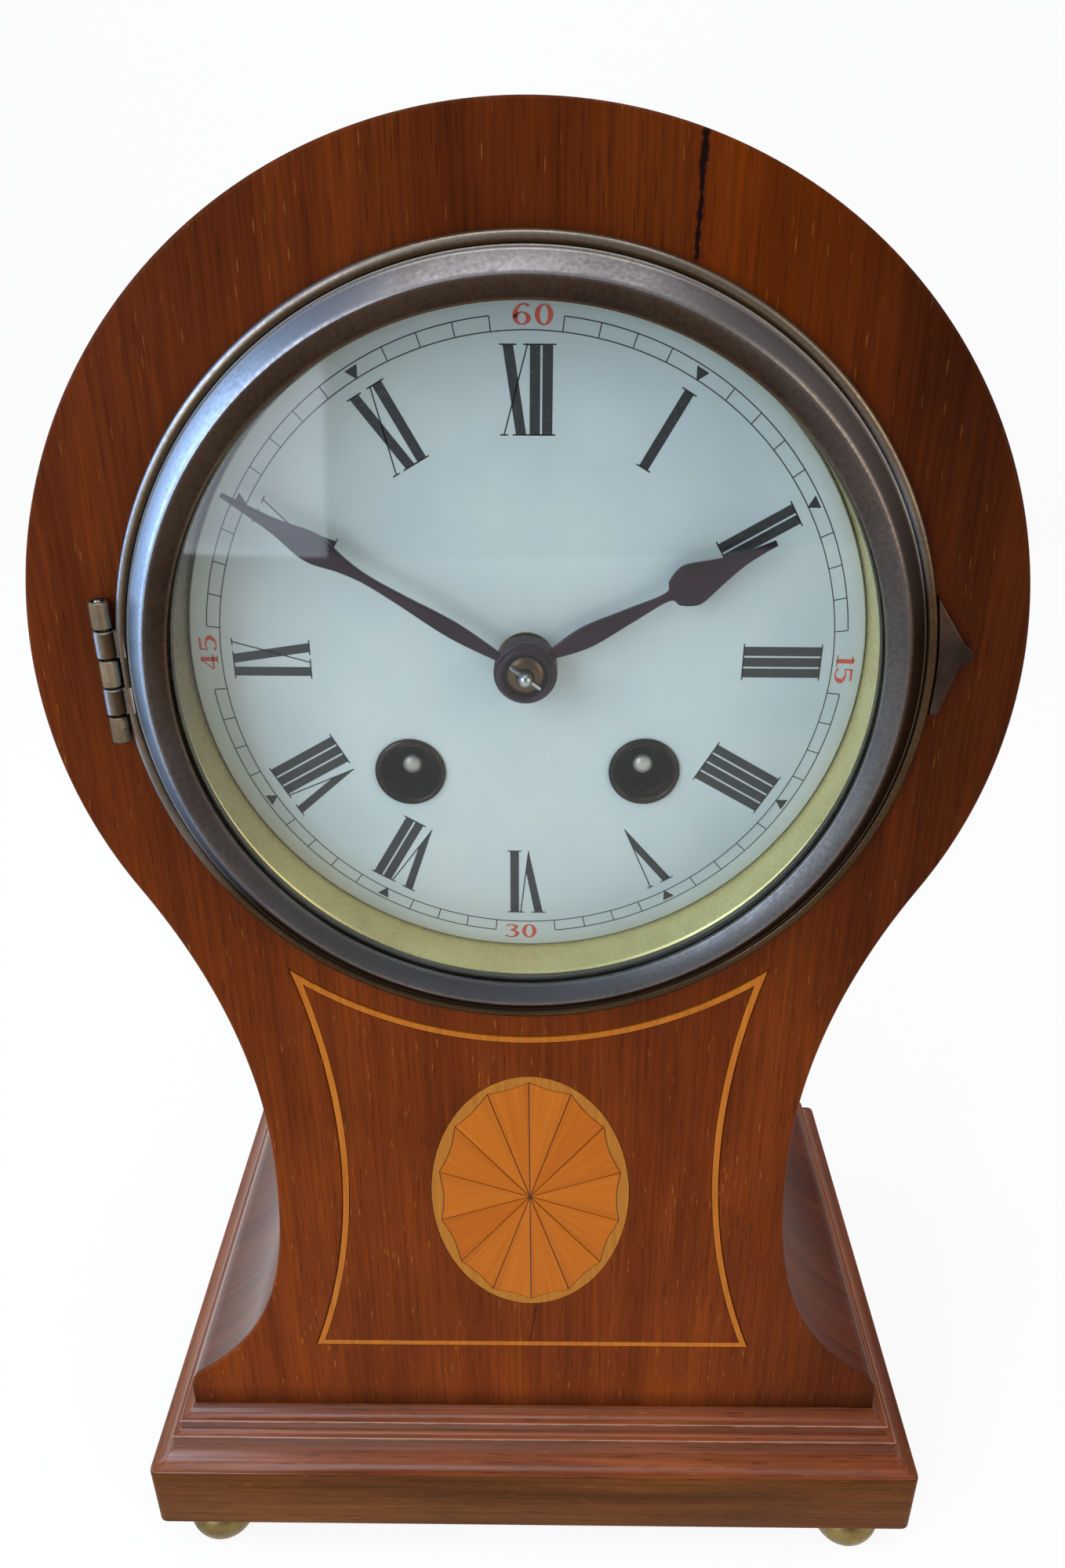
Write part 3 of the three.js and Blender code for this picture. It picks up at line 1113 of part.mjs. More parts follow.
function makeBell() {
  const hole = BELL_HOLE_RADIUS;
  const shape = [[0.3, 0.02], [0.7, 0.15], [0.93, 0.45], [1, 1]];
  const outside = shape.map(([radius, depth]) => [radius * BELL_RADIUS, BELL_FRONT + depth * BELL_DEPTH]);
  const inside = shape.slice(0, -1).reverse().map(([radius, depth]) => [
    radius * (BELL_RADIUS - BELL_WALL),
    BELL_FRONT + BELL_WALL + depth * BELL_DEPTH,
  ]);
  piece(atDial, 'bell', turned([
    [hole, BELL_FRONT],
    ...outside,
    [BELL_RADIUS - BELL_WALL, BELL_FRONT + BELL_DEPTH],
    ...inside,
    [hole, BELL_FRONT + BELL_WALL],
  ], 20), BELL_METAL);
  const armBack = BELL_FRONT - SEAT_GAP;
  const armFront = armBack - BELL_ARM_THICK;
  const post = rod([BELL_STAND_X, 0], BELL_POST_RADIUS, BACK_PLATE_OUTER + SEAT_GAP, armBack, 14);
  const arm = box(-BELL_ARM_END, BELL_STAND_X, armFront, armBack, -BELL_ARM_HALF, BELL_ARM_HALF);
  const stud = rod([0, 0], hole - SEAT_GAP, armFront, BELL_FRONT + BELL_WALL + BELL_STUD_PROUD, 12);
  piece(atDial, 'bell_stand', join(post, arm, stud), BRASS);

  const [px, pz] = HAMMER_PIVOT;
  const [hx, hz] = HAMMER_HEAD;
  const arbor = rod(HAMMER_PIVOT, ARBOR_RADIUS, PIVOT_FRONT, HAMMER_DEPTH + HAMMER_ARBOR_END);
  const reach = Math.hypot(hx - px, hz - pz);
  const side = HAMMER_STEM_HALF;
  const stem = box(-side, side, HAMMER_DEPTH - side, HAMMER_DEPTH + side, -HAMMER_STEM_TAIL, reach)
    .rotateY(Math.atan2(hx - px, hz - pz))
    .translate(px, 0, pz);
  const head = rod(HAMMER_HEAD, HAMMER_HEAD_RADIUS, HAMMER_DEPTH - HAMMER_HEAD_LENGTH / 2,
    HAMMER_DEPTH + HAMMER_HEAD_LENGTH / 2, 16);
  piece(atDial, 'strike_hammer', join(arbor, stem, head), STEEL);
}

// Back ring let into the back board, and the hinged door that covers it

function makeBackDoor() {
  const ringFront = CASE_DEPTH + SEAT_GAP;
  const ringBack = ringFront + BACK_RING_THICK;
  const tube = BACK_HOLE_RADIUS - SEAT_GAP;
  const ring = turned([
    [tube - BACK_TUBE_WALL, BACK_INNER],
    [tube, BACK_INNER],
    [tube, ringFront],
    [BACK_RING_RADIUS, ringFront],
    [BACK_RING_RADIUS, ringBack],
    [tube - BACK_TUBE_WALL, ringBack],
  ], 28);
  const axisY = ringBack + SEAT_GAP;
  const webs = [];
  for (const side of [-1, 1]) {
    const near = side * (DOOR_KNUCKLE_LENGTH / 2 + SEAT_GAP);
    const far = near + side * DOOR_KNUCKLE_LENGTH;
    const [low, high] = [Math.min(near, far), Math.max(near, far)];
    webs.push(upRod(DOOR_HINGE_X, axisY, KNUCKLE_RADIUS, low, high));
    webs.push(box(BACK_RING_RADIUS - WEB_OVERLAP, DOOR_HINGE_X, ringFront, ringBack, low, high));
  }
  const pinHalf = 1.4 * DOOR_KNUCKLE_LENGTH;
  const pin = upRod(DOOR_HINGE_X, axisY, HINGE_PIN_RADIUS, -pinHalf, pinHalf, 8);
  piece(atDial, 'back_ring', join(ring, ...webs, pin), BRASS);

  const doorFront = ringBack + SEAT_GAP;
  const doorBack = doorFront + DOOR_THICK;
  const dish = turned([
    [0, doorFront + DOOR_DISH_HOLLOW],
    [DOOR_DISH_RADIUS, doorFront + DOOR_DISH_HOLLOW],
    [DOOR_DISH_RADIUS + DOOR_DISH_SLOPE, doorFront],
    [DOOR_RADIUS, doorFront],
    [DOOR_RADIUS, doorBack],
    [DOOR_DISH_RADIUS + DOOR_DISH_SLOPE, doorBack],
    [DOOR_DISH_RADIUS, doorBack + DOOR_DISH],
    [0, doorBack + DOOR_DISH],
  ], 28);
  const half = DOOR_KNUCKLE_LENGTH / 2;
  const knuckle = upRod(DOOR_HINGE_X, axisY, KNUCKLE_RADIUS, -half, half);
  const webBack = doorFront + DOOR_WEB_THICK;
  const web = box(DOOR_RADIUS - WEB_OVERLAP, DOOR_HINGE_X, doorFront, webBack, -half, half);
  const bore = upRod(DOOR_HINGE_X, axisY, HINGE_PIN_RADIUS + SEAT_GAP, -half - 1, half + 1, 8);
  const gripEnd = -DOOR_RADIUS - DOOR_GRIP_REACH;
  const grip = box(gripEnd, -DOOR_RADIUS + WEB_OVERLAP, doorFront, doorBack, -DOOR_GRIP_HALF, DOOR_GRIP_HALF);
  piece(atDial, 'back_door', cut(join(dish, knuckle, web, grip), bore), BRASS);
}

makeCase();
makeBase();
makeBezel();
makeDial();
makeFrame();
makeWinding(WINDING, 1, 'going', INTER);
makeWinding(STRIKE_WINDING, -1, 'strike', SECOND);
makeTrains();
makeMotionWork();
makeHands();
makeEscapement();
makeBell();
makeBackDoor();

export default clock;
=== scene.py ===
# A balloon mantel clock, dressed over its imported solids: veneered case, inlay, bezel, printed dial, hands, movement.
import math

import bmesh
import bpy
from mathutils import Matrix, Vector
from mathutils.geometry import interpolate_bezier, tessellate_polygon


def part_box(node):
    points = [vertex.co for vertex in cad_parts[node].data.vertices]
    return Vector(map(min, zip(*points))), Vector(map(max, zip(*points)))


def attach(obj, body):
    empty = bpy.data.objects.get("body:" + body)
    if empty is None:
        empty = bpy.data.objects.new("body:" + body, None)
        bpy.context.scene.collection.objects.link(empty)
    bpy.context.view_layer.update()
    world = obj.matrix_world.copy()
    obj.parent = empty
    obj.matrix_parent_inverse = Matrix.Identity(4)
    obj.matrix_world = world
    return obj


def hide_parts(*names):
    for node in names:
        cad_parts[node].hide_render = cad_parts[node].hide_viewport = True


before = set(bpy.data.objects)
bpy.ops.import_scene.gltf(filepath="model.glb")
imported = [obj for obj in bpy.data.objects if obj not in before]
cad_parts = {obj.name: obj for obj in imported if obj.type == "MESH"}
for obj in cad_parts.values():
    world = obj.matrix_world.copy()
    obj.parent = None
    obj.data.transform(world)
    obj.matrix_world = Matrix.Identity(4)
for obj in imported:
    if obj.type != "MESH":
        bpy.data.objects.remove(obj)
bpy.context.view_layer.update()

# Places that the solids give, in metres, and the sizes of the pieces, in millimetres and degrees.
# The clock's own frame is x to the right, depth back from the panel's face, and z up from the dial's middle.
MM = 0.001
DIAL_Z = (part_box("dial")[0].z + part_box("dial")[1].z) / 2
PANEL_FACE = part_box("front_panel")[0].y
FLOOR = -DIAL_Z / MM

HEAD_RADIUS, HEAD_RISE = 71, 1
WAIST_HALF, WAIST_DROP = 46.2, 92
FLARE_HALF, FLARE_DROP = 68, 148.6
FLARE_PULL, FLARE_PUSH, FLARE_SWELL = 0.54, 0.81, 0.27
FOOT_HALF, FOOT_EDGE_DROP, FOOT_EASE, CASE_DROP = 69.5, 152, 0.4, 157
CASE_DEPTH, CASE_WALL, PANEL_THICK, BACK_THICK = 96.5, 7, 7, 5
VENEER_THICK, VENEER_GAP, ARRIS = 1, 0.1, 0.5
MOULD_HEIGHT, MOULD_OVERHANG, MOULD_CORNER, UPPER_ARRIS, LOWER_ARRIS = 10.2, 8.75, 0.3, 1.95, 4.7
PLINTH_HEIGHT, PLINTH_TOP_ROUND, PLINTH_FOOT_ROUND, PLINTH_CORNER = 16.5, 0.4, 1.1, 1.6
FOOT_RADIUS, FOOT_HEIGHT, FOOT_SIDE_INSET, FOOT_END_INSET = 7, 8, 11.35, 7.15
BACK_HOLE_RADIUS, BACK_RING_RADIUS, BACK_RING_THICK, BACK_TUBE_WALL = 44, 49, 1.5, 2
DOOR_RADIUS, DOOR_THICK, DOOR_GRIP_REACH, DOOR_GRIP_HALF = 48, 1.5, 3.2, 4
DISH_RADIUS, DISH_SLOPE, DISH_RISE, DISH_HOLLOW = 34.6, 3.8, 2.2, 1.3
DOOR_HINGE_X, DOOR_KNUCKLE_LENGTH, DOOR_WEB_THICK, WEB_OVERLAP, WEB_ROUND = 51.4, 6, 1.2, 2, 0.1
BELL_RADIUS, BELL_DEPTH, BELL_WALL, BELL_FRONT, BELL_HOLE = 28, 16.4, 1.5, 66.6, 1.9
BELL_SHAPE = [(0.3, 0.02), (0.7, 0.15), (0.93, 0.45), (1, 1)]

STRING_WIDTH, STRING_TOP_RADIUS, STRING_SIDE_RADIUS = 1.1, 63.5, 150
STRING_WAIST_HALF, STRING_WAIST_DROP, STRING_BOTTOM_DROP = 33.9, 89, 139
PATERA_HALF_WIDTH, PATERA_HALF_HEIGHT, PATERA_DROP = 18, 27.6, 99.5
PATERA_BORDER, PATERA_RAYS, PATERA_SCALLOP, GLUE_LINE, GLUE_FRONT, GLUE_BACK = 1.2, 14, 1, 0.1, 0.3, 0.95
INLAY_THICK, INLAY_ARRIS, FIELD_ARRIS, STRING_ARRIS = 0.9, 0.03, 0.04, 0.05

BEZEL_RADIUS, BEZEL_PROUD, BEZEL_BACK, REBATE_FRONT = 58.2, 4.8, -0.3, -2.9
BEAD_MIDDLE, BEAD_HALF, BEAD_DEPTH, BEAD_RISE = 57.35, 0.75, -1.3, 0.55
BEZEL_FILLET = [(56.58, -1.15), (56.52, -1.6), (56.38, -1.74), (56.24, -1.72)]
BEZEL_BAND = [(56.14, -2), (55.4, -2.86), (54.6, -3.76), (53.9, -4.5), (53.4, -BEZEL_PROUD)]
SIGHT_RADIUS, GLASS_RADIUS, GLASS_THICK, GLASS_RISE, GLASS_EDGE = 50.4, 51.6, 1.2, 4.6, -2.6
BEZEL_SLOPE = [(53.1, -4.77), (52.3, -4.5), (51.3, -4.06), (SIGHT_RADIUS, -3.55)]
RETAINER_INNER, RETAINER_THICK, RETAINER_ROUND, SEAT_GAP = 50.3, 0.8, 0.2, 0.3
HINGE_X, HINGE_PROUD, HINGE_LOW, HINGE_ROOM = 59.2, 1.7, -8.55, 1.8
KNUCKLE_LENGTH, KNUCKLE_RADIUS, KNUCKLE_BORE, KNUCKLE_PLAY, PIN_RADIUS, TURNED_EASE = 4.26, 1.4, 0.9, 0.15, 0.6, 0.2
HINGE_TOP = HINGE_LOW + 5 * KNUCKLE_LENGTH
TAB_LOW, TAB_TIP_Z, TAB_HIGH, TAB_REACH, TAB_TIP_RADIUS = -4.7, 4.1, 12.9, 4.5, 1.6
TAB_FRONT, TAB_BACK, TAB_ROUND, TAB_JOINT, TAB_HEEL = -1.5, -0.3, 0.25, 0.05, 0.9

DIAL_RADIUS, DIAL_DEPTH, DIAL_THICK, DIAL_HOLE, DIAL_TURN, DIAL_ROUND = 50.6, 9, 1.6, 4.3, 0.6, 0.25
MOUNT_INNER, MOUNT_OUTER, MOUNT_FRONT, MOUNT_BACK, MOUNT_SEAT, MOUNT_ARRIS = 50.9, 53.1, 1, 13, 10.9, 0.3
SLEEVE_INNER, SLEEVE_OUTER, SLEEVE_BACK, PANEL_HOLE = 43.2, 45.5, 17.7, 53.4
WINDING_X, WINDING_DROP, WINDING_HOLE, WINDER_END = 18.4, 18.3, 4.7, 1.6
GROMMET_RADIUS, GROMMET_BORE, GROMMET_TUBE, GROMMET_LENGTH, GROMMET_PROUD = 5.6, 3.9, 4.4, 2.8, 0.15
RAIL_INNER, RAIL_OUTER, RAIL_LINE = 46, 47.95, 0.16
NUMERAL_FOOT, NUMERAL_HEAD, NUMERAL_STROKE, HAIRLINE = 32.6, 44.2, 1.42, 0.2
INK_PROUD = 0.02
HAND_THICK, HAND_BOSS, MINUTE_HAND_DEPTH, HOUR_HAND_DEPTH = 0.8, 4.7, 3.2, 5.6
MINUTE_HAND_ANGLE, HOUR_HAND_ANGLE, MINUTE_HAND_BORE, HOUR_HAND_BORE, HAND_ROUND = 301.8, 62.8, 2.6, 3.9, 0.22
MINUTE_HAND_EDGE = [(0.6, 4.6), (1.2, 12.3), (0.75, 21.2), (0.62, 26.4), (1.05, 30.2), (2.1, 35.1), (1.1, 40.4),
                    (0.65, 44.4), (0.25, 49)]
HOUR_HAND_EDGE = [(0.75, 4.6), (1.6, 10), (1.05, 17), (0.6, 23), (1.9, 24.2), (2.9, 26), (3, 27.6), (1.8, 31.4),
                  (0.8, 35.3), (0.35, 40)]
# The minute hand's cup: radius and depth from the hand's face
MINUTE_CUP = [(4.66, 0.1), (4.6, -0.12), (4.32, -0.26), (4.22, -0.5), (4.18, -0.95), (4.04, -1.22), (3.75, -1.32),
              (3.35, -1.2), (3.05, -0.85), (2.95, -0.4), (2.95, 0.1)]
COLLAR_MIDDLE, COLLAR_HALF, COLLAR_RISE, COLLAR_SUNK = 4.28, 0.36, 1.1, 0.1
COLLET_BORE, TAPER_PIN_SLANT, CENTRE_END = 1.3, 38, 1.1
# How many flats a large turned ring has
RING_STEPS = 192


# Outlines: lists of flat points, x to the right and z up, in millimetres

def arc(centre, radius, start, end, steps):
    """Points on an arc from one angle to another, in radians anticlockwise from the right."""
    turns = [start + (end - start) * i / steps for i in range(steps + 1)]
    return [Vector((centre[0] + radius * math.cos(t), centre[1] + radius * math.sin(t))) for t in turns]


def circle(centre, radius, steps=160):
    return arc(centre, radius, 0, math.tau, steps)[:-1]


def mirrored(half):
    """A closed outline from its right half, which starts on the middle line."""
    return half + [Vector((-p.x, p.y)) for p in reversed(half) if p.x > 1e-6]


def smoothed(points, steps=8):
    """A flowing curve through the points."""
    points = [Vector(p) for p in points]
    line = [points[0]]
    for i in range(len(points) - 1):
        before, after = points[max(i - 1, 0)], points[min(i + 2, len(points) - 1)]
        pull, push = (points[i + 1] - before) / 6, (after - points[i]) / 6
        line += interpolate_bezier(points[i], points[i] + pull, points[i + 1] - push, points[i + 1], steps + 1)[1:]
    return line


def corners(loop):
    """Each point of a closed outline with the points before and after it."""
    return zip(loop[-1:] + loop[:-1], loop, loop[1:] + loop[:1])


def filleted(points, radius, steps=4):
    """A closed outline with each corner rounded."""
    loop = []
    for before, here, after in corners([Vector(p) for p in points]):
        start = here + (before - here).normalized() * min(radius, 0.45 * (before - here).length)
        end = here + (after - here).normalized() * min(radius, 0.45 * (after - here).length)
        shares = [i / steps for i in range(steps + 1)]
        loop += [start * (1 - t) ** 2 + here * 2 * t * (1 - t) + end * t ** 2 for t in shares]
    return loop


def grown(loop, distance):
    """A closed outline moved outwards, or inwards where the distance is negative, with mitred corners."""
    area = sum(a.x * b.y - b.x * a.y for a, b in zip(loop, loop[1:] + loop[:1]))
    way = math.copysign(distance, distance * area)
    moved = []
    for before, here, after in corners(loop):
        along, onward = (here - before).normalized(), (after - here).normalized()
        out = Vector((along.y + onward.y, -along.x - onward.x)).normalized()
        moved.append(here + out * way / max(0.2, out.dot(Vector((onward.y, -onward.x)))))
    return moved


def pen_stroke(path, widths):
    """The outline of a stroke along a path, with its width at each point."""
    left, right = [], []
    for i, here in enumerate(path):
        ahead = path[min(i + 1, len(path) - 1)] - path[max(i - 1, 0)]
        side = Vector((-ahead.y, ahead.x)).normalized() * widths[i] / 2
        left.append(here + side)
        right.append(here - side)
    return left + right[::-1]


def case_half():
    """The balloon's right side: a round head, one long neck arc, and a sweep out to the foot."""
    neck_radius = (WAIST_HALF ** 2 + WAIST_DROP ** 2 - HEAD_RADIUS ** 2) / (2 * (HEAD_RADIUS - WAIST_HALF))
    neck = (WAIST_HALF + neck_radius, HEAD_RISE - WAIST_DROP)
    meet = math.atan2(neck[1] - HEAD_RISE, neck[0])
    fall = neck[1] + FLARE_DROP
    pull = Vector((WAIST_HALF, neck[1] - FLARE_PULL * fall))
    push = Vector((WAIST_HALF + FLARE_SWELL * (FLARE_HALF - WAIST_HALF), neck[1] - FLARE_PUSH * fall))
    flare = Vector((FLARE_HALF, -FLARE_DROP))
    half = arc((0, HEAD_RISE), HEAD_RADIUS, math.pi / 2, meet, 90)
    half += arc(neck, neck_radius, math.pi + meet, math.pi, 36)[1:]
    half += interpolate_bezier(Vector((WAIST_HALF, neck[1])), pull, push, flare, 33)[1:]
    half.append(Vector((FOOT_HALF - FOOT_EASE, -(FLARE_DROP + FOOT_EDGE_DROP) / 2)))
    half.append(Vector((FOOT_HALF, -FOOT_EDGE_DROP)))
    return half + [Vector((FOOT_HALF, -CASE_DROP))]


def case_band():
    """The section of the case behind the panel: two legs joined over the head, open below."""
    channel, chamber = WAIST_HALF - CASE_WALL, HEAD_RADIUS - CASE_WALL
    inside = arc((0, HEAD_RISE), chamber, math.pi / 2, -math.acos(channel / chamber), 60)
    inside.append(Vector((channel, -CASE_DROP)))
    outer, inner = mirrored(case_half()), mirrored(inside)
    split, seam = len(case_half()), len(inside)
    return outer[split:] + outer[:split] + inner[:seam][::-1] + inner[seam:][::-1]


def string_outline(inset):
    """One edge of the boxwood line: a hollow top under the bezel, hollow sides and a straight foot."""
    side = Vector((STRING_WAIST_HALF + STRING_SIDE_RADIUS, -STRING_WAIST_DROP))
    top_radius, side_radius = STRING_TOP_RADIUS + inset, STRING_SIDE_RADIUS + inset
    bottom = inset - STRING_BOTTOM_DROP
    along = (top_radius ** 2 - side_radius ** 2 + side.length_squared) / (2 * side.length)
    off = math.sqrt(top_radius ** 2 - along ** 2)
    way = side.normalized()
    corner = Vector((along * way.x + off * way.y, along * way.y - off * way.x))
    low = Vector((side.x - math.sqrt(side_radius ** 2 - (bottom - side.y) ** 2), bottom))
    start = math.atan2(corner.y - side.y, corner.x - side.x)
    end = math.tau + math.atan2(low.y - side.y, low.x - side.x)
    half = arc((0, 0), top_radius, -math.pi / 2, math.atan2(corner.y, corner.x), 40)
    return mirrored(half + arc(side, side_radius, start, end, 40)[1:])


def oval_point(share, inset):
    turn = math.tau * share + math.pi / 2
    return Vector((math.cos(turn) * (PATERA_HALF_WIDTH - inset),
                   math.sin(turn) * (PATERA_HALF_HEIGHT - inset) - PATERA_DROP))


def oval(inset):
    return [oval_point(i / 140, inset) for i in range(140)]


def fan_edge(ray, steps=10):
    """The hollow end of one ray of the fan, from one point of the scallop to the next."""
    points = []
    for i in range(steps + 1):
        inset = PATERA_BORDER + PATERA_SCALLOP * math.sin(math.pi * i / steps)
        points.append(oval_point((ray + i / steps) / PATERA_RAYS, inset))
    return points


# Shapes: meshes in metres

def spot(x, depth, z):
    return Vector((x * MM, PANEL_FACE + depth * MM, DIAL_Z + z * MM))


def shaded(bm, flat=(), limit=32):
    """The shape as a mesh, smooth but for sharp corners and the borders of its flat faces."""
    bmesh.ops.recalc_face_normals(bm, faces=bm.faces)
    flat = set(flat)
    for face in bm.faces:
        face.smooth = True
    for edge in bm.edges:
        sides = {face in flat for face in edge.link_faces}
        edge.smooth = edge.calc_face_angle(0) < math.radians(limit) and len(sides) == 1
    mesh = bpy.data.meshes.new("shape")
    bm.to_mesh(mesh)
    bm.free()
    return mesh


def slab(outer, front, back, holes=(), rounding=0, both=False, steps=4):
    """A board of that outline between two depths, with its front edges rounded, or both its edges."""
    bm = bmesh.new()
    turns = [math.pi / 2 * i / steps for i in range(steps + 1)]
    edge = [(rounding * (1 - math.sin(t)), rounding * (1 - math.cos(t))) for t in turns] if rounding else [(0, 0)]
    rows = [(inset, front + depth) for inset, depth in edge]
    rows += [(inset, back - depth) for inset, depth in reversed(edge)] if both else [(0, back)]
    fronts, backs = [], []
    for loop, way in [(outer, -1)] + [(hole, 1) for hole in holes]:
        flats = [grown(loop, way * inset) if inset else loop for inset, _ in rows]
        rings = [[bm.verts.new(spot(p.x, depth, p.y)) for p in flat] for flat, (_, depth) in zip(flats, rows)]
        for ring, following in zip(rings, rings[1:]):
            for i in range(len(ring)):
                bm.faces.new((ring[i - 1], ring[i], following[i], following[i - 1]))
        fronts.append((flats[0], rings[0]))
        backs.append((flats[-1], rings[-1]))
    caps = []
    for loops in (fronts, backs):
        verts = [vert for _, ring in loops for vert in ring]
        for triangle in tessellate_polygon([flat for flat, _ in loops]):
            caps.append(bm.faces.new([verts[i] for i in triangle]))
    return shaded(bm, caps)


def turned(profile, centre=(0, 0), upright=False, segments=160):
    """A turned solid of (radius, along) points about the depth axis at x, z, or about an upright at x, depth."""
    bm = bmesh.new()
    rings = []
    for radius, along in profile:
        turns = [math.tau * i / segments for i in range(segments if radius > 0 else 1)]
        spots = [(centre[0] + radius * math.cos(t), centre[1] + radius * math.sin(t)) for t in turns]
        rings.append([bm.verts.new(spot(a, b, along) if upright else spot(a, along, b)) for a, b in spots])
    if profile[0][0] > 0:
        rings.append(rings[0])
    for ring, following in zip(rings, rings[1:]):
        for i in range(segments):
            j = (i + 1) % segments
            face = [ring[i % len(ring)], ring[j % len(ring)],
                    following[j % len(following)], following[i % len(following)]]
            bm.faces.new(list(dict.fromkeys(face)))
    return shaded(bm)


def mitred(rows, corner, last_corner):
    """A four-sided block that follows a section of (reach beyond the case's foot, z) points from its top down."""
    bm = bmesh.new()
    rings = []
    for i, (reach, z) in enumerate(rows):
        x, front, back = FOOT_HALF + reach, -reach, CASE_DEPTH + reach
        eased = corner + (last_corner - corner) * (i / (len(rows) - 1)) ** 2
        loop = filleted([(x, front), (x, back), (-x, back), (-x, front)], eased)
        rings.append([bm.verts.new(spot(p.x, p.y, z)) for p in loop])
    for ring, following in zip(rings, rings[1:]):
        for i in range(len(ring)):
            bm.faces.new((ring[i - 1], ring[i], following[i], following[i - 1]))
    caps = [bm.faces.new(rings[0]), bm.faces.new(rings[-1])]
    return shaded(bm, caps)


def cut(shape, *tools):
    """A shape with other shapes taken out of it."""
    made = bpy.data.objects.new("cutting", shape)
    bpy.context.scene.collection.objects.link(made)
    helpers = []
    for tool in tools:
        helper = bpy.data.objects.new("tool", tool)
        bpy.context.scene.collection.objects.link(helper)
        modifier = made.modifiers.new("cut", "BOOLEAN")
        modifier.operation, modifier.solver, modifier.object = "DIFFERENCE", "EXACT", helper
        helpers.append(helper)
    depsgraph = bpy.context.evaluated_depsgraph_get()
    result = bpy.data.meshes.new_from_object(made.evaluated_get(depsgraph), depsgraph=depsgraph)
    for used in [made, *helpers]:
        bpy.data.objects.remove(used)
    return result


def piece(name, finish, body, *shapes, stands_for=(), slot=None):
    """Joins shapes into one named piece with a finish, riding on a body of the clock."""
    bm = bmesh.new()
    for shape in shapes:
        bm.from_mesh(shape)
        bpy.data.meshes.remove(shape)
    mesh = bpy.data.meshes.new(name)
    bm.to_mesh(mesh)
    bm.free()
    mesh.materials.clear()
    mesh.materials.append(finish)
    made = bpy.data.objects.new(name, mesh)
    bpy.context.scene.collection.objects.link(made)
    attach(made, body)
    if stands_for:
        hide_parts(*stands_for)
    return made


def carried(finish, *nodes, edge=0.08):
    """Carries solids over with a finish, their points merged, their flats whole and their edges broken."""
    for node in nodes:
        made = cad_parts[node]
        made.data.materials.clear()
        made.data.materials.append(finish)
        made.data.shade_smooth()
        merge = made.modifiers.new("merge", "WELD")
        merge.merge_threshold = 0.002 * MM
        flats = made.modifiers.new("flats", "DECIMATE")
        flats.decimate_type, flats.angle_limit = "DISSOLVE", math.radians(1)
        broken = made.modifiers.new("edges", "BEVEL")
        broken.width, broken.segments, broken.harden_normals = edge * MM, 2, True
        broken.limit_method, broken.angle_limit = "ANGLE", math.radians(32)
        made.modifiers.new("flat shading", "WEIGHTED_NORMAL").keep_sharp = True


# Finishes

def paint(code):
    """A colour from its sRGB hex value to linear."""
    shares = [int(code[i:i + 2], 16) / 255 for i in (1, 3, 5)]
    return (*[c / 12.92 if c <= 0.04045 else ((c + 0.055) / 1.055) ** 2.4 for c in shares], 1)


def add(tree, kind, inputs=None, stops=None, out=0, **settings):
    """Adds a node with its settings, its inputs set or linked and its colour stops, and gives an output or the node."""
    node = tree.nodes.new(kind if "Node" in kind else f"ShaderNode{kind}")
    for key, value in settings.items():
        setattr(node, key, value)
    for key, value in (inputs or {}).items():
        if isinstance(value, bpy.types.NodeSocket):
            tree.links.new(value, node.inputs[key])
        else:
            node.inputs[key].default_value = value
    if stops:
        elements = node.color_ramp.elements
        while len(elements) < len(stops):
            elements.new(0.5)
        for element, (place, code) in zip(elements, stops):
            element.position = place
            element.color = paint(code)
    return node if out is None else node.outputs[out]


def start_finish(name, **sockets):
    """A material with its shader's even values set, and the clock's frame in millimetres for its patterns."""
    material = bpy.data.materials.new(name)
    material.use_nodes = True
    tree = material.node_tree
    shader = tree.nodes["Principled BSDF"]
    for socket, value in sockets.items():
        shader.inputs[socket.replace("_", " ")].default_value = value
    place = add(tree, "TexCoord", out="Object")
    shift = (0, -PANEL_FACE / MM, -DIAL_Z / MM)
    mm = add(tree, "Mapping", {"Vector": place, "Location": shift, "Scale": (1 / MM,) * 3})
    return material, tree, shader, mm


def link_finish(tree, shader, relief=None, strength=0.1, depth=0.02, **linked):
    """Links a finish to its shader: its colour and roughness, and its relief as a bump of a depth in millimetres."""
    if relief is not None:
        linked["Normal"] = add(tree, "Bump", {"Strength": strength, "Distance": depth * MM, "Height": relief})
    for socket, source in linked.items():
        tree.links.new(source, shader.inputs[socket.replace("_", " ")])


def facing_light(tree, outlook, low=-0.22, high=0.3):
    """How far an outlook faces up and to the left, towards the window's light, from 0 to 1: where lit and shaded sides
    are painted.
    """
    window = (-0.42, 0, 0.91)
    facing = add(tree, "VectorMath", {0: outlook, 1: window}, operation="DOT_PRODUCT", out="Value")
    return add(tree, "MapRange", {0: facing, 1: low, 2: high})


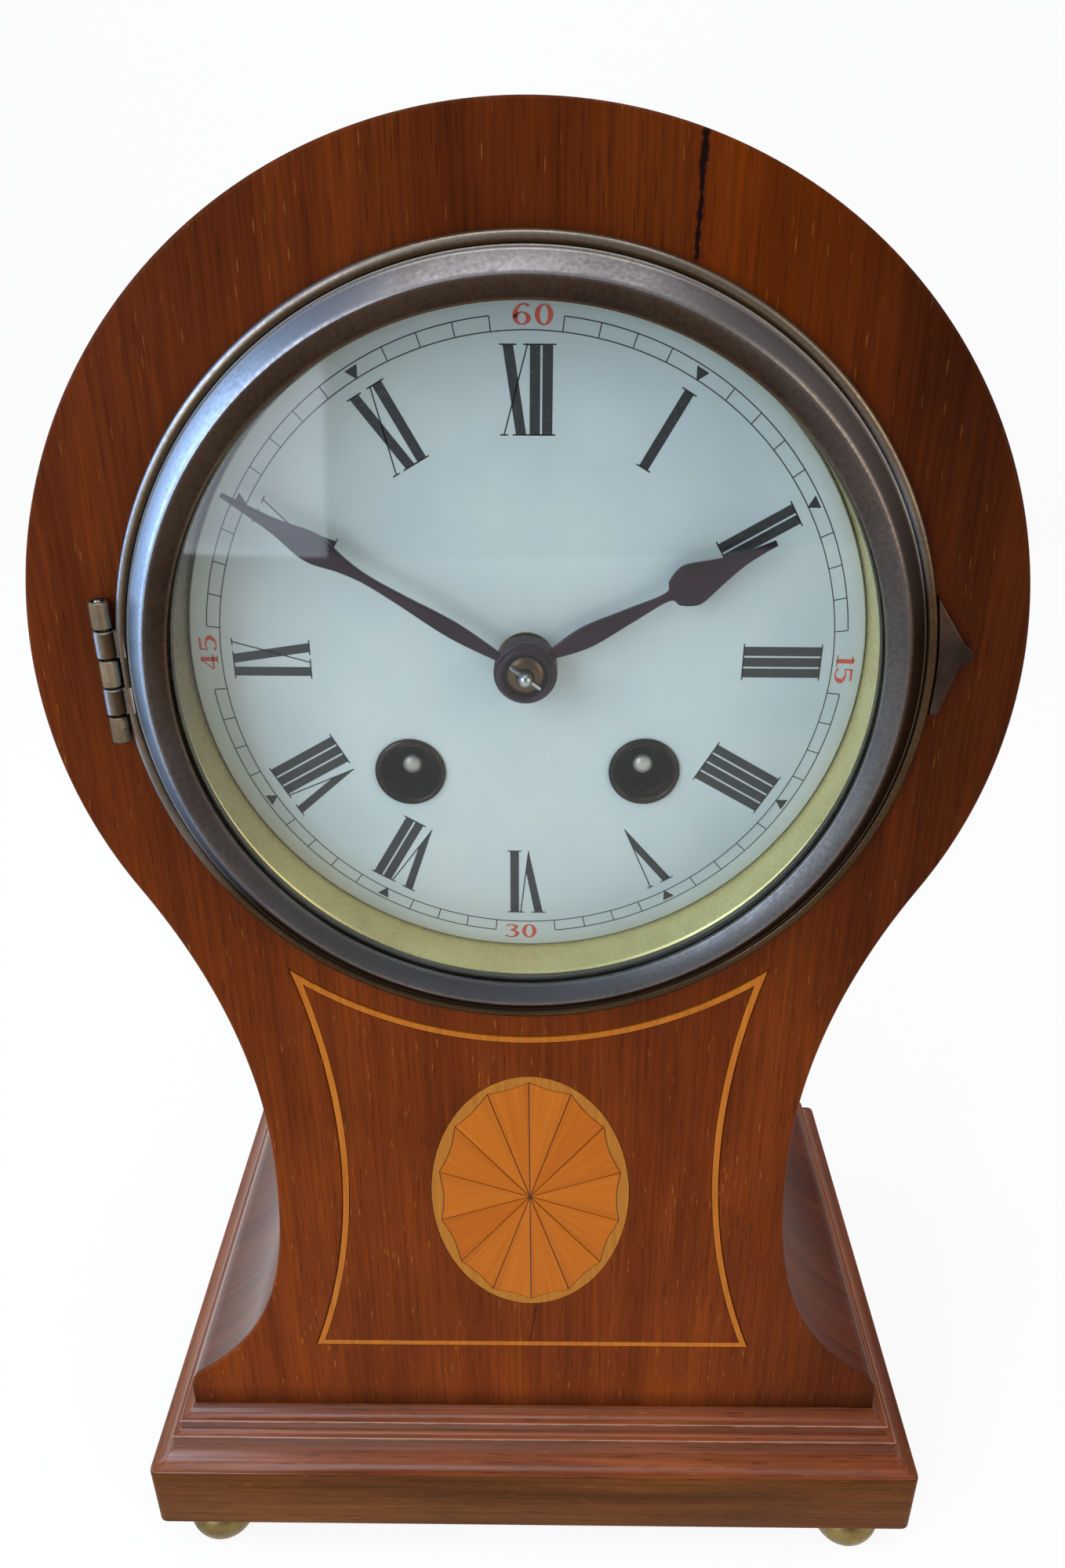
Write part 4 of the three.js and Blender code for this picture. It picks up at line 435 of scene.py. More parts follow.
def mahogany(name, deep, middle, pale, grain="up", cracks=(), polish=0.5, dulled=None, flecks=0.38, tones_and_foot_shade=False,
             worn_and_highlit_edges=()):
    """French-polished mahogany: broad red-brown ribbons, fine grain, short golden flecks and dark open pores."""
    material, tree, shader, mm = start_finish(name, Coat_Weight=polish, Coat_Roughness=0.2, IOR=1.5,
                                              Specular_IOR_Level=0.03)
    x, depth, z = add(tree, "SeparateXYZ", {0: mm}, out=None).outputs
    run = mm
    # The moulding's and the plinth's grain runs along each of their four sides
    if grain == "along":
        normal = add(tree, "TexCoord", out="Normal")
        right, back, _ = add(tree, "SeparateXYZ", {0: normal}, out=None).outputs
        aside = add(tree, "Math", {0: right}, operation="ABSOLUTE")
        ahead = add(tree, "Math", {0: back}, operation="ABSOLUTE")
        on_side = add(tree, "Math", {0: aside, 1: ahead}, operation="GREATER_THAN")
        front_run = add(tree, "CombineXYZ", {0: z, 1: depth, 2: x})
        side_run = add(tree, "CombineXYZ", {0: z, 1: x, 2: depth})
        run = add(tree, "Mix", {0: on_side, 4: front_run, 5: side_run}, data_type="VECTOR", out=1)
    # The veneer of the sides runs up one side, over the head and down the other
    if grain == "round":
        neck = -50
        turn = add(tree, "Math", {0: x, 1: z}, operation="ARCTAN2")
        drop = add(tree, "Math", {0: z, 1: neck}, operation="MINIMUM")
        along = add(tree, "Math", {0: turn, 1: HEAD_RADIUS, 2: drop}, operation="MULTIPLY_ADD")
        run = add(tree, "CombineXYZ", {0: depth, 2: along})
    # Ribbons about 8 mm wide and 120 mm long, grain lines 0.7 mm wide and 30 mm long
    ribbon_run = add(tree, "Mapping", {"Vector": run, "Scale": (1 / 8, 1 / 8, 1 / 120)})
    ribbon = add(tree, "TexNoise", {"Vector": ribbon_run, "Scale": 1, "Detail": 3, "Roughness": 0.5, "Distortion": 0.4})
    line_run = add(tree, "Mapping", {"Vector": run, "Scale": (1 / 0.7, 1 / 0.7, 1 / 30)})
    line = add(tree, "TexNoise", {"Vector": line_run, "Scale": 1, "Detail": 3, "Roughness": 0.6})
    ground = add(tree, "ValToRGB", {0: ribbon}, [(0.3, deep), (0.5, middle), (0.72, pale)])
    lined = add(tree, "MapRange", {0: line, 1: 0.3, 2: 0.7, 3: 0.72, 4: 1.22})
    colour = add(tree, "Mix", {0: 1.0, 6: ground, 7: lined}, data_type="RGBA", blend_type="MULTIPLY", out=2)
    # Flecks and pores about 0.2 mm wide and 2 to 4 mm long, each cell of the pattern holding one at most
    fleck_run = add(tree, "Mapping", {"Vector": run, "Scale": (1 / 0.5, 1 / 0.5, 1 / 6)})
    fleck = add(tree, "TexVoronoi", {"Vector": fleck_run, "Scale": 1}, feature="F1", out=None).outputs
    spread = add(tree, "MapRange", {0: fleck["Distance"], 1: 0.09, 2: 0.2, 3: flecks, 4: 0})
    chosen = add(tree, "SeparateColor", {0: fleck["Color"]})
    some = add(tree, "MapRange", {0: chosen, 1: 0.52, 2: 0.95})
    golden = add(tree, "Math", {0: spread, 1: some}, operation="MULTIPLY")
    colour = add(tree, "Mix", {0: golden, 6: colour, 7: paint("#ad7430")}, data_type="RGBA", out=2)
    pore_run = add(tree, "Mapping", {"Vector": run, "Location": (7.3, 2.1, 5.7), "Scale": (1 / 0.6, 1 / 0.6, 1 / 10)})
    pore = add(tree, "TexVoronoi", {"Vector": pore_run, "Scale": 1}, feature="F1", out="Distance")
    dark = add(tree, "MapRange", {0: pore, 1: 0.12, 2: 0.26, 3: 0.5, 4: 0})
    colour = add(tree, "Mix", {0: dark, 6: colour, 7: paint("#2b0f07")}, data_type="RGBA", out=2)
    # Old handling leaves clouds about 35 mm wide that are a little darker
    cloud = add(tree, "TexNoise", {"Vector": mm, "Scale": 1 / 35, "Detail": 2})
    clouded = add(tree, "MapRange", {0: cloud, 1: 0.3, 2: 0.7, 3: 0.82, 4: 1.12})
    colour = add(tree, "Mix", {0: 1.0, 6: colour, 7: clouded}, data_type="RGBA", blend_type="MULTIPLY", out=2)
    # A pale line just below the edges at these heights, to about 0.3 mm: polish rubbed by dusting and a painted
    # highlight on each arris
    for edge in worn_and_highlit_edges:
        below = add(tree, "Math", {0: edge, 1: z}, operation="SUBTRACT")
        rubs = add(tree, "TexNoise", {"Vector": mm, "Scale": 1 / 4, "Detail": 4})
        deep_rub = add(tree, "MapRange", {0: rubs, 1: 0.35, 2: 0.65, 3: 0.1, 4: 0.45})
        fade = add(tree, "MapRange", {0: below, 1: deep_rub, 2: 0, 3: 0, 4: 0.6})
        under = add(tree, "Math", {0: below, 1: 0.0}, operation="GREATER_THAN")
        wear_and_painted_light = add(tree, "Math", {0: fade, 1: under}, operation="MULTIPLY")
        colour = add(tree, "Mix", {0: wear_and_painted_light, 6: colour, 7: paint("#b48d7c")}, data_type="RGBA", out=2)
    # Painted light and shade: faces that look up are painted paler and upright faces darker
    if worn_and_highlit_edges:
        rise = add(tree, "SeparateXYZ", {0: add(tree, "TexCoord", out="Normal")}, out=2)
        painted_lighting = add(tree, "MapRange", {0: rise, 1: 0.1, 2: 0.9, 3: 0.68, 4: 1.3})
        colour = add(tree, "Mix", {0: 1.0, 6: colour, 7: painted_lighting}, data_type="RGBA", blend_type="MULTIPLY", out=2)
    # The panel is paler towards its foot, golden beside the crack and deep red at the right,
    # and painted shade darkens it along its foot, where it meets the moulding
    if tones_and_foot_shade:
        by_height = add(tree, "MapRange", {0: z, 1: -150, 2: 50, 3: 1.6, 4: 0.85})
        by_side = add(tree, "MapRange", {0: x, 1: 40, 2: 60, 3: 1, 4: 0.5})
        # Painted shade along the panel's foot, where it meets the moulding
        painted_edge_shade = add(tree, "MapRange", {0: z, 1: -157, 2: -151.5, 3: 0.4, 4: 1})
        by_place = add(tree, "Math", {0: by_height, 1: by_side}, operation="MULTIPLY")
        tone_and_shade = add(tree, "Math", {0: by_place, 1: painted_edge_shade}, operation="MULTIPLY")
        colour = add(tree, "Mix", {0: 1.0, 6: colour, 7: tone_and_shade}, data_type="RGBA", blend_type="MULTIPLY", out=2)
        near = add(tree, "MapRange", {0: x, 1: 20, 2: 22, 3: 0, 4: 0.55})
        far = add(tree, "MapRange", {0: x, 1: 34, 2: 50, 3: 1, 4: 0})
        above = add(tree, "MapRange", {0: z, 1: 5, 2: 45})
        strip = add(tree, "Math", {0: near, 1: far}, operation="MULTIPLY")
        patch = add(tree, "Math", {0: strip, 1: above}, operation="MULTIPLY")
        golden = add(tree, "Mix", {0: 1.0, 6: colour, 7: paint("#ffe08a")}, data_type="RGBA",
                     blend_type="MULTIPLY", out=2)
        lifted = add(tree, "Mix", {0: 1.0, 6: golden, 7: paint("#2a1200")}, data_type="RGBA", blend_type="ADD", out=2)
        colour = add(tree, "Mix", {0: patch, 6: colour, 7: lifted}, data_type="RGBA", out=2)
    height = add(tree, "Math", {0: line, 1: dark}, operation="SUBTRACT")
    # Each crack wanders beside its line from (x, z) to (x, z), with a half width, on the panel's face
    for (x0, z0), (x1, z1), half_width, wander in cracks:
        path = add(tree, "MapRange", {0: z, 1: z0, 2: z1, 3: x0, 4: x1})
        drift = add(tree, "TexNoise", {"W": z, "Scale": 0.35, "Detail": 3}, noise_dimensions="1D")
        drifted = add(tree, "Math", {0: drift, 1: wander, 2: path}, operation="MULTIPLY_ADD")
        off = add(tree, "Math", {0: x, 1: drifted}, operation="SUBTRACT")
        away = add(tree, "Math", {0: off}, operation="ABSOLUTE")
        chips = add(tree, "TexNoise", {"W": z, "Scale": 0.9, "Detail": 2}, noise_dimensions="1D")
        wide = add(tree, "Math", {0: chips, 1: 2 * half_width}, operation="MULTIPLY")
        gap = add(tree, "MapRange", {0: away, 1: wide, 2: 0, 3: 0, 4: 1.6})
        low = add(tree, "MapRange", {0: z, 1: min(z0, z1) - 0.3, 2: min(z0, z1) + 0.6})
        high = add(tree, "MapRange", {0: z, 1: max(z0, z1) + 0.3, 2: max(z0, z1) - 0.6})
        ends = add(tree, "Math", {0: low, 1: high}, operation="MULTIPLY")
        face = add(tree, "Math", {0: depth, 1: 2 * VENEER_THICK}, operation="LESS_THAN")
        there = add(tree, "Math", {0: ends, 1: face}, operation="MULTIPLY")
        crack = add(tree, "Math", {0: gap, 1: there}, operation="MULTIPLY", use_clamp=True)
        colour = add(tree, "Mix", {0: crack, 6: colour, 7: paint("#140605")}, data_type="RGBA", out=2)
        height = add(tree, "Math", {0: crack, 1: -6, 2: height}, operation="MULTIPLY_ADD")
    rough = add(tree, "MapRange", {0: cloud, 1: 0.3, 2: 0.7, 3: 0.36, 4: 0.5})
    link_finish(tree, shader, height, 0.25, 0.03, Base_Color=colour, Roughness=rough)
    # The polish has lasted on the left and gone dull on the right
    if dulled is not None:
        lasting = add(tree, "MapRange", {0: x, 1: -40, 2: 40, 3: polish, 4: dulled})
        link_finish(tree, shader, Coat_Weight=lasting)
    return material


def boxwood(name, colours, fan=False):
    """Polished boxwood: a close even grain. The fan's rays are cut from different sheets and scorched at one edge."""
    material, tree, shader, mm = start_finish(name, Coat_Weight=0.04, Coat_Roughness=0.2, IOR=1.5,
                                              Specular_IOR_Level=0.08)
    run, shade = mm, 0.0
    if fan:
        x, _, z = add(tree, "SeparateXYZ", {0: mm}, out=None).outputs
        rise = add(tree, "Math", {0: z, 1: PATERA_DROP})
        across = add(tree, "Math", {0: x, 1: PATERA_HALF_HEIGHT / PATERA_HALF_WIDTH}, operation="MULTIPLY")
        turn = add(tree, "Math", {0: rise, 1: across}, operation="ARCTAN2")
        share = add(tree, "Math", {0: turn, 1: PATERA_RAYS / math.tau, 2: PATERA_RAYS * 0.75}, operation="MULTIPLY_ADD")
        ray = add(tree, "Math", {0: share}, operation="FLOOR")
        within = add(tree, "Math", {0: share}, operation="FRACT")
        shade = add(tree, "TexWhiteNoise", {"W": ray}, noise_dimensions="1D", out="Value")
        from_middle = add(tree, "CombineXYZ", {0: across, 1: 0.0, 2: rise})
        reach = add(tree, "VectorMath", {0: from_middle}, operation="LENGTH", out="Value")
        spread = add(tree, "Math", {0: share, 1: 9}, operation="MULTIPLY")
        run = add(tree, "CombineXYZ", {0: spread, 1: ray, 2: reach})
    grain_run = add(tree, "Mapping", {"Vector": run, "Scale": (1 / 0.8, 1 / 0.8, 1 / 22)})
    grain = add(tree, "TexNoise", {"Vector": grain_run, "Scale": 1, "Detail": 3})
    tone = add(tree, "Math", {0: shade, 1: 0.3, 2: grain}, operation="MULTIPLY_ADD")
    stops = list(zip((0.3, 0.6, 0.95), colours))
    colour = add(tree, "ValToRGB", {0: tone}, stops)
    if fan:
        scorch = add(tree, "MapRange", {0: within, 1: 0.0, 2: 0.3, 3: 0.3, 4: 0})
        colour = add(tree, "Mix", {0: scorch, 6: colour, 7: paint("#8a4a12")}, data_type="RGBA", out=2)
    rough = add(tree, "MapRange", {0: grain, 3: 0.34, 4: 0.48})
    link_finish(tree, shader, grain, 0.15, Base_Color=colour, Roughness=rough)
    return material


def metal(name, bright, dull, stain, roughness=(0.25, 0.45), stained=0.35, brushed=(1, 1, 1), shaded_side=None,
          spun=False, cloud_size=9, **sockets):
    """Old metal: a colour that dulls in soft clouds, small stains, and a brushed, lapped or spun surface."""
    material, tree, shader, mm = start_finish(name, **{"Metallic": 1.0, **sockets})
    cloud = add(tree, "TexNoise", {"Vector": mm, "Scale": 1 / cloud_size, "Detail": 4, "Roughness": 0.6})
    colour = add(tree, "ValToRGB", {0: cloud}, [(0.35, dull), (0.65, bright)])
    spots = add(tree, "TexNoise", {"Vector": mm, "Scale": 1 / 1.6, "Detail": 4, "Roughness": 0.65})
    marked = add(tree, "MapRange", {0: spots, 1: 0.58, 2: 0.72, 3: 0, 4: stained})
    colour = add(tree, "Mix", {0: marked, 6: colour, 7: paint(stain)}, data_type="RGBA", out=2)
    # Painted shade: faces that look away from the window's light take the shaded-side colour
    if shaded_side:
        normal = add(tree, "TexCoord", out="Normal")
        colour = add(tree, "Mix", {0: facing_light(tree, normal, -0.7, 0.3), 6: paint(shaded_side), 7: colour},
                     data_type="RGBA", out=2)
    lines = add(tree, "Mapping", {"Vector": mm, "Scale": brushed})
    if spun:
        lines = add(tree, "VectorMath", {0: lines}, operation="LENGTH", out="Value")
    brush = add(tree, "TexNoise", {"Vector": lines, "Scale": 1 if spun else 4, "Detail": 3})
    worn = brush if spun else spots
    rough = add(tree, "MapRange", {0: worn, 1: 0.3, 2: 0.7, 3: roughness[0], 4: roughness[1]})
    link_finish(tree, shader, brush, 0.12, Base_Color=colour, Roughness=rough)
    return material


def bronzed_bezel():
    """Bronzed brass, turned, its bronzing painted grey and lit on the side facing the light and brown and shaded on the
    other, with a painted highlight on the fillet.
    """
    material, tree, shader, mm = start_finish("bronzed_brass_bezel", Metallic=0.9, Specular_Tint=paint("#8a7a6c"))
    flat = add(tree, "VectorMath", {0: mm, 1: (1, 0, 1)}, operation="MULTIPLY")
    radius = add(tree, "VectorMath", {0: flat}, operation="LENGTH", out="Value")
    share = add(tree, "MapRange", {0: radius, 1: 50, 2: 58.4})
    # Across the section from the glass outwards: sight edge, inner slope, crest, outer slope, fillet, bead
    # Painted light and shade: the grey ramp is the lit side and the brown one the shaded side, both lighter at the
    # fillet for a painted highlight
    wear_and_painted_light = [(0.03, "#8b8b86"), (0.07, "#57585a"), (0.34, "#5d5c5c"), (0.42, "#7f7b79"), (0.7, "#787472"),
              (0.74, "#d8d3c9"), (0.79, "#d0c9bc"), (0.82, "#8a8072"), (0.98, "#86796a")]
    bronze_and_painted_shade = [(0.03, "#5b4b3c"), (0.1, "#33271f"), (0.4, "#42342a"), (0.7, "#382614"), (0.74, "#54463a"),
             (0.79, "#4a3c2f"), (0.82, "#4a3927"), (0.98, "#433322")]
    light = add(tree, "ValToRGB", {0: share}, wear_and_painted_light)
    normal = add(tree, "TexCoord", out="Normal")
    # A painted bluish reflection of the window on the outer faces of the left flank
    aside = add(tree, "SeparateXYZ", {0: normal})
    left = add(tree, "MapRange", {0: aside, 1: -0.6, 2: -0.2, 3: 0.85, 4: 0})
    outside = add(tree, "MapRange", {0: share, 1: 0.38, 2: 0.44})
    painted_window_reflection = add(tree, "Math", {0: left, 1: outside}, operation="MULTIPLY")
    light = add(tree, "Mix", {0: painted_window_reflection, 6: light, 7: paint("#b2cdea")}, data_type="RGBA", out=2)
    dark = add(tree, "ValToRGB", {0: share}, bronze_and_painted_shade)
    # The fillet and the bead keep the painted shade on both flanks where their place on the ring looks down
    outward = add(tree, "VectorMath", {0: flat}, operation="NORMALIZE")
    within = add(tree, "Math", {0: share, 1: 0.72}, operation="LESS_THAN")
    allowed = add(tree, "Math", {0: facing_light(tree, outward), 1: within}, operation="MAXIMUM")
    painted_lighting = add(tree, "Math", {0: facing_light(tree, normal), 1: allowed}, operation="MINIMUM")
    zones = add(tree, "Mix", {0: painted_lighting, 6: dark, 7: light}, data_type="RGBA", out=2)
    # Patina in specks about 0.6 mm wide and clouds about 12 mm wide
    specks = add(tree, "TexNoise", {"Vector": mm, "Scale": 1 / 0.6, "Detail": 3})
    cloud = add(tree, "TexNoise", {"Vector": mm, "Scale": 1 / 12, "Detail": 3})
    worn = add(tree, "Math", {0: specks, 1: cloud}, operation="ADD")
    tone = add(tree, "MapRange", {0: worn, 1: 0.7, 2: 1.3, 3: 0.72, 4: 1.2})
    colour = add(tree, "Mix", {0: 1.0, 6: zones, 7: tone}, data_type="RGBA", blend_type="MULTIPLY", out=2)
    rough = add(tree, "MapRange", {0: worn, 1: 0.7, 2: 1.3, 3: 0.44, 4: 0.3})
    link_finish(tree, shader, specks, 0.2, Base_Color=colour, Roughness=rough)
    return material


def dial_enamel():
    """Fired enamel: a cool white glaze with a faint orange-peel ripple and slight clouding."""
    material, tree, shader, mm = start_finish("fired_enamel", Coat_Weight=0.3, Coat_Roughness=0.06, IOR=1.52,
                                              Roughness=0.3, Specular_IOR_Level=0.3)
    cloud = add(tree, "TexNoise", {"Vector": mm, "Scale": 1 / 22, "Detail": 3})
    stops = [(0.3, "#b2babc"), (0.55, "#b9c1c1"), (0.75, "#c2c5c1")]
    colour = add(tree, "ValToRGB", {0: cloud}, stops)
    flat = add(tree, "VectorMath", {0: mm, 1: (1, 0, 1)}, operation="MULTIPLY")
    radius = add(tree, "VectorMath", {0: flat}, operation="LENGTH", out="Value")
    # Painted shade: the enamel darkens to olive grey over its last 2 mm, under the wall of the dial ring
    painted_edge_shade = add(tree, "MapRange", {0: radius, 1: DIAL_RADIUS - 2, 2: DIAL_RADIUS, 3: 0, 4: 0.35})
    colour = add(tree, "Mix", {0: painted_edge_shade, 6: colour, 7: paint("#9a8f6a")}, data_type="RGBA", out=2)
    ripple = add(tree, "TexNoise", {"Vector": mm, "Scale": 1 / 3.5, "Detail": 1})
    link_finish(tree, shader, ripple, 0.08, 0.03, Base_Color=colour)
    return material


def dial_ink(name, full, thin):
    """Transferred and fired ink, a little thin where the print took badly."""
    material, tree, shader, mm = start_finish(name, IOR=1.5)
    wear = add(tree, "TexNoise", {"Vector": mm, "Scale": 1 / 0.7, "Detail": 4, "Roughness": 0.7})
    colour = add(tree, "ValToRGB", {0: wear}, [(0.55, full), (0.78, thin)])
    rough = add(tree, "MapRange", {0: wear, 3: 0.3, 4: 0.5})
    link_finish(tree, shader, Base_Color=colour, Roughness=rough)
    return material


def clear_glass():
    """Old clear glass: almost nothing shows but its reflections, stronger towards the rim."""
    material, tree, shader, mm = start_finish("clear_glass", Metallic=1.0, Roughness=0.03, Base_Color=paint("#f4f8f8"))
    # Wiping leaves smears about 14 mm wide that haze the surface a little
    smear = add(tree, "TexNoise", {"Vector": mm, "Scale": 1 / 14, "Detail": 2})
    rough = add(tree, "MapRange", {0: smear, 1: 0.35, 2: 0.7, 3: 0.02, 4: 0.08})
    link_finish(tree, shader, Roughness=rough)
    # A back face would count as the way out of solid glass and mirror everything, so only the front faces reflect
    behind = add(tree, "NewGeometry", out="Backfacing")
    ahead = add(tree, "Math", {0: 1.0, 1: behind}, operation="SUBTRACT")
    rate = add(tree, "Fresnel", {"IOR": 1.5})
    edge = add(tree, "Math", {0: rate, 1: ahead}, operation="MULTIPLY")
    through = add(tree, "BsdfTransparent", {"Color": paint("#fafdfc")})
    mixed = add(tree, "MixShader", {0: edge, 1: through, 2: shader.outputs[0]})
    tree.links.new(mixed, tree.nodes["Material Output"].inputs["Surface"])
    return material


PANEL_CRACKS = [((21.6, 68.6), (21.1, 54.4), 0.42, 0.7), ((21.6, 68.6), (21.44, 64), 0.65, 0.7),
                ((0.9, -127.4), (-0.8, -139), 0.12, 0.5)]
PANEL_MAHOGANY = mahogany("polished_mahogany_veneer", "#4a1d05", "#572407", "#622b08", cracks=PANEL_CRACKS, polish=0.02,
                          tones_and_foot_shade=True)
CASE_MAHOGANY = mahogany("polished_mahogany_case", "#471b0a", "#55240e", "#602c12", grain="round", polish=0.75,
                         dulled=0.02)
MOULD_MAHOGANY = mahogany("polished_mahogany_moulding", "#602e16", "#713a1f", "#7e4526", grain="along", polish=1.0,
                          dulled=0.25, worn_and_highlit_edges=[-CASE_DROP - UPPER_ARRIS, -CASE_DROP - LOWER_ARRIS])
PLINTH_MAHOGANY = mahogany("worn_mahogany_plinth", "#4c2a0e", "#603614", "#6e421b", grain="along", polish=0.03,
                           flecks=0.4)
BACK_WOOD = mahogany("stained_back_board", "#2c1509", "#3a1d0e", "#472714", polish=0.05, flecks=0.3)
STRING_BOXWOOD = boxwood("boxwood_string", ("#9c5614", "#ad6419", "#b97125"))
BORDER_BOXWOOD = boxwood("boxwood_border", ("#965b19", "#a46820", "#b0752b"))
FAN_BOXWOOD = boxwood("boxwood_fan", ("#9f4e08", "#aa5a0d", "#b26417"), fan=True)
GLUE = metal("dark_glue_line", "#3a1c0a", "#2a1206", "#160803", Metallic=0.0)
BEZEL_BRONZE = bronzed_bezel()
TAB_BRONZE = metal("bronzed_brass_tab", "#4a3a30", "#2c221d", "#1b1411", (0.3, 0.5), 0.5)
HINGE_BRASS = metal("worn_hinge_brass", "#94836a", "#6a5d4c", "#3b3024", (0.3, 0.5), 0.7)
FOOT_BRASS = metal("tarnished_foot_brass", "#94804e", "#6e5d3a", "#403c28", (0.3, 0.5), 0.6)
# The dial ring's wall is painted darker where it faces away from the light
DIAL_BRASS = metal("brushed_dial_brass", "#dacd8a", "#cebf7a", "#9a8c58", (0.24, 0.32), 0.05, (0.05, 1.2, 0.05),
                   "#4a3f2e", Metallic=0.4)
# Tarnished brass, and painted darker for the shade it sits in between the dial ring and the bezel
RETAINER_BRASS = metal("dull_shaded_retainer_brass", "#5e5a48", "#45423a", "#2a2722", (0.35, 0.55), 0.5)
COLLET_BRASS = metal("brown_collet_brass", "#6b533b", "#4a382a", "#2d221b", (0.25, 0.45), 0.5)
MOVEMENT_BRASS = metal("lacquered_movement_brass", "#c4a255", "#b39148", "#7d6530", (0.2, 0.34), 0.2)
DOOR_BRASS = metal("spun_back_door_brass", "#b3944c", "#a68a48", "#6f5c34", (0.2, 0.42), 0.12, (1, 0, 1), spun=True,
                   cloud_size=40)
BELL_METAL = metal("turned_bell_metal", "#b3a889", "#a69b7f", "#756c55", (0.18, 0.34), 0.12, (1, 0, 1), spun=True,
                   cloud_size=30)
STEEL = metal("polished_steel", "#b6b9bd", "#8b8f94", "#5a4d42", (0.18, 0.34))
ARBOR_STEEL = metal("rubbed_arbor_steel", "#c9c4bc", "#aaa398", "#7d7165", (0.35, 0.5), 0.3, Metallic=0.6)
# Steel painted near black, standing in for the shade inside the dial's winding holes
SHADE_DARK_STEEL = metal("shade_dark_steel", "#34302d", "#221e1b", "#14110f", (0.35, 0.5), 0.5)
HAND_STEEL = metal("browned_hand_steel", "#3d2b37", "#2a1d26", "#45262a", (0.28, 0.48), 0.6)
GROMMET_STEEL = metal("blackened_grommet_steel", "#3a302b", "#241d1a", "#120e0c", (0.18, 0.34), 0.4)
ENAMEL = dial_enamel()
BLACK_INK = dial_ink("fired_black_ink", "#17151a", "#4a4a4a")
RED_INK = dial_ink("fired_red_ink", "#c4452c", "#d07a66")
GLASS = clear_glass()


# Case

def dress_case():
    outline = mirrored(case_half())
    opening = circle((0, 0), PANEL_HOLE)
    piece("panel_board", CASE_MAHOGANY, "case", slab(outline, VENEER_THICK, PANEL_THICK, [opening]), slot="mahogany")
    field = slab(outline, 0, VENEER_THICK, [opening, string_outline(-VENEER_GAP)], ARRIS)
    middle = slab(string_outline(STRING_WIDTH + VENEER_GAP), 0, VENEER_THICK, [oval(-VENEER_GAP)], FIELD_ARRIS)
    piece("panel_veneer", PANEL_MAHOGANY, "case", field, middle, stands_for=["front_panel"], slot="mahogany")
    line = slab(string_outline(0), 0, INLAY_THICK, [string_outline(STRING_WIDTH)], STRING_ARRIS)
    piece("boxwood_line", STRING_BOXWOOD, "case", line, stands_for=["string_inlay"], slot="boxwood")
    band = slab(case_band(), PANEL_THICK, CASE_DEPTH - BACK_THICK)
    piece("case_sides", CASE_MAHOGANY, "case", band, stands_for=["case_body"], slot="mahogany")
    board = slab(outline, CASE_DEPTH - BACK_THICK, CASE_DEPTH, [circle((0, 0), BACK_HOLE_RADIUS)])
    piece("back_board_plain", BACK_WOOD, "case", board, stands_for=["back_board"], slot="back_wood")


def dress_patera():
    edges = [fan_edge(ray) for ray in range(PATERA_RAYS)]
    scallops = [point for edge in edges for point in edge[:-1]]
    border = slab(oval(0), 0, INLAY_THICK, [grown(scallops, GLUE_LINE / 2)], INLAY_ARRIS)
    piece("patera_rim", BORDER_BOXWOOD, "case", border, stands_for=["patera_border"], slot="boxwood")
    hub = Vector((0, -PATERA_DROP))
    rays = [slab(grown([hub, *edge], -GLUE_LINE), 0, INLAY_THICK, rounding=INLAY_ARRIS) for edge in edges]
    piece("patera_rays", FAN_BOXWOOD, "case", *rays, stands_for=["patera_fan"], slot="boxwood")
    glue = slab(oval(PATERA_BORDER - PATERA_SCALLOP), GLUE_FRONT, GLUE_BACK)
    piece("patera_glue", GLUE, "case", glue, slot="boxwood")


def hollow(start, end, steps=10):
    """A cove's section from (reach, drop) to (reach, drop), upright at its start and level at its end."""
    turns = [math.pi / 2 * i / steps for i in range(steps + 1)]
    wide, high = end[0] - start[0], end[1] - start[1]
    return [(end[0] - wide * math.cos(t), start[1] + high * math.sin(t)) for t in turns]


def mould_rows():
    """The moulding's section from its top: a cove, a flat edge, a small cove, and a long cove down to the plinth."""
    section = [(0, 0), *hollow((0.26, 0.05), (2.62, UPPER_ARRIS)), (2.74, UPPER_ARRIS + 0.06), (2.8, UPPER_ARRIS + 0.2),
               *hollow((2.82, 4.1), (4.24, LOWER_ARRIS), 6), (4.34, LOWER_ARRIS + 0.06), (4.38, LOWER_ARRIS + 0.2),
               *hollow((4.4, 5.1), (MOULD_OVERHANG - 0.25, MOULD_HEIGHT - 0.1), 16),
               (MOULD_OVERHANG - 0.12, MOULD_HEIGHT)]
    return [(out, -CASE_DROP - drop) for out, drop in section]


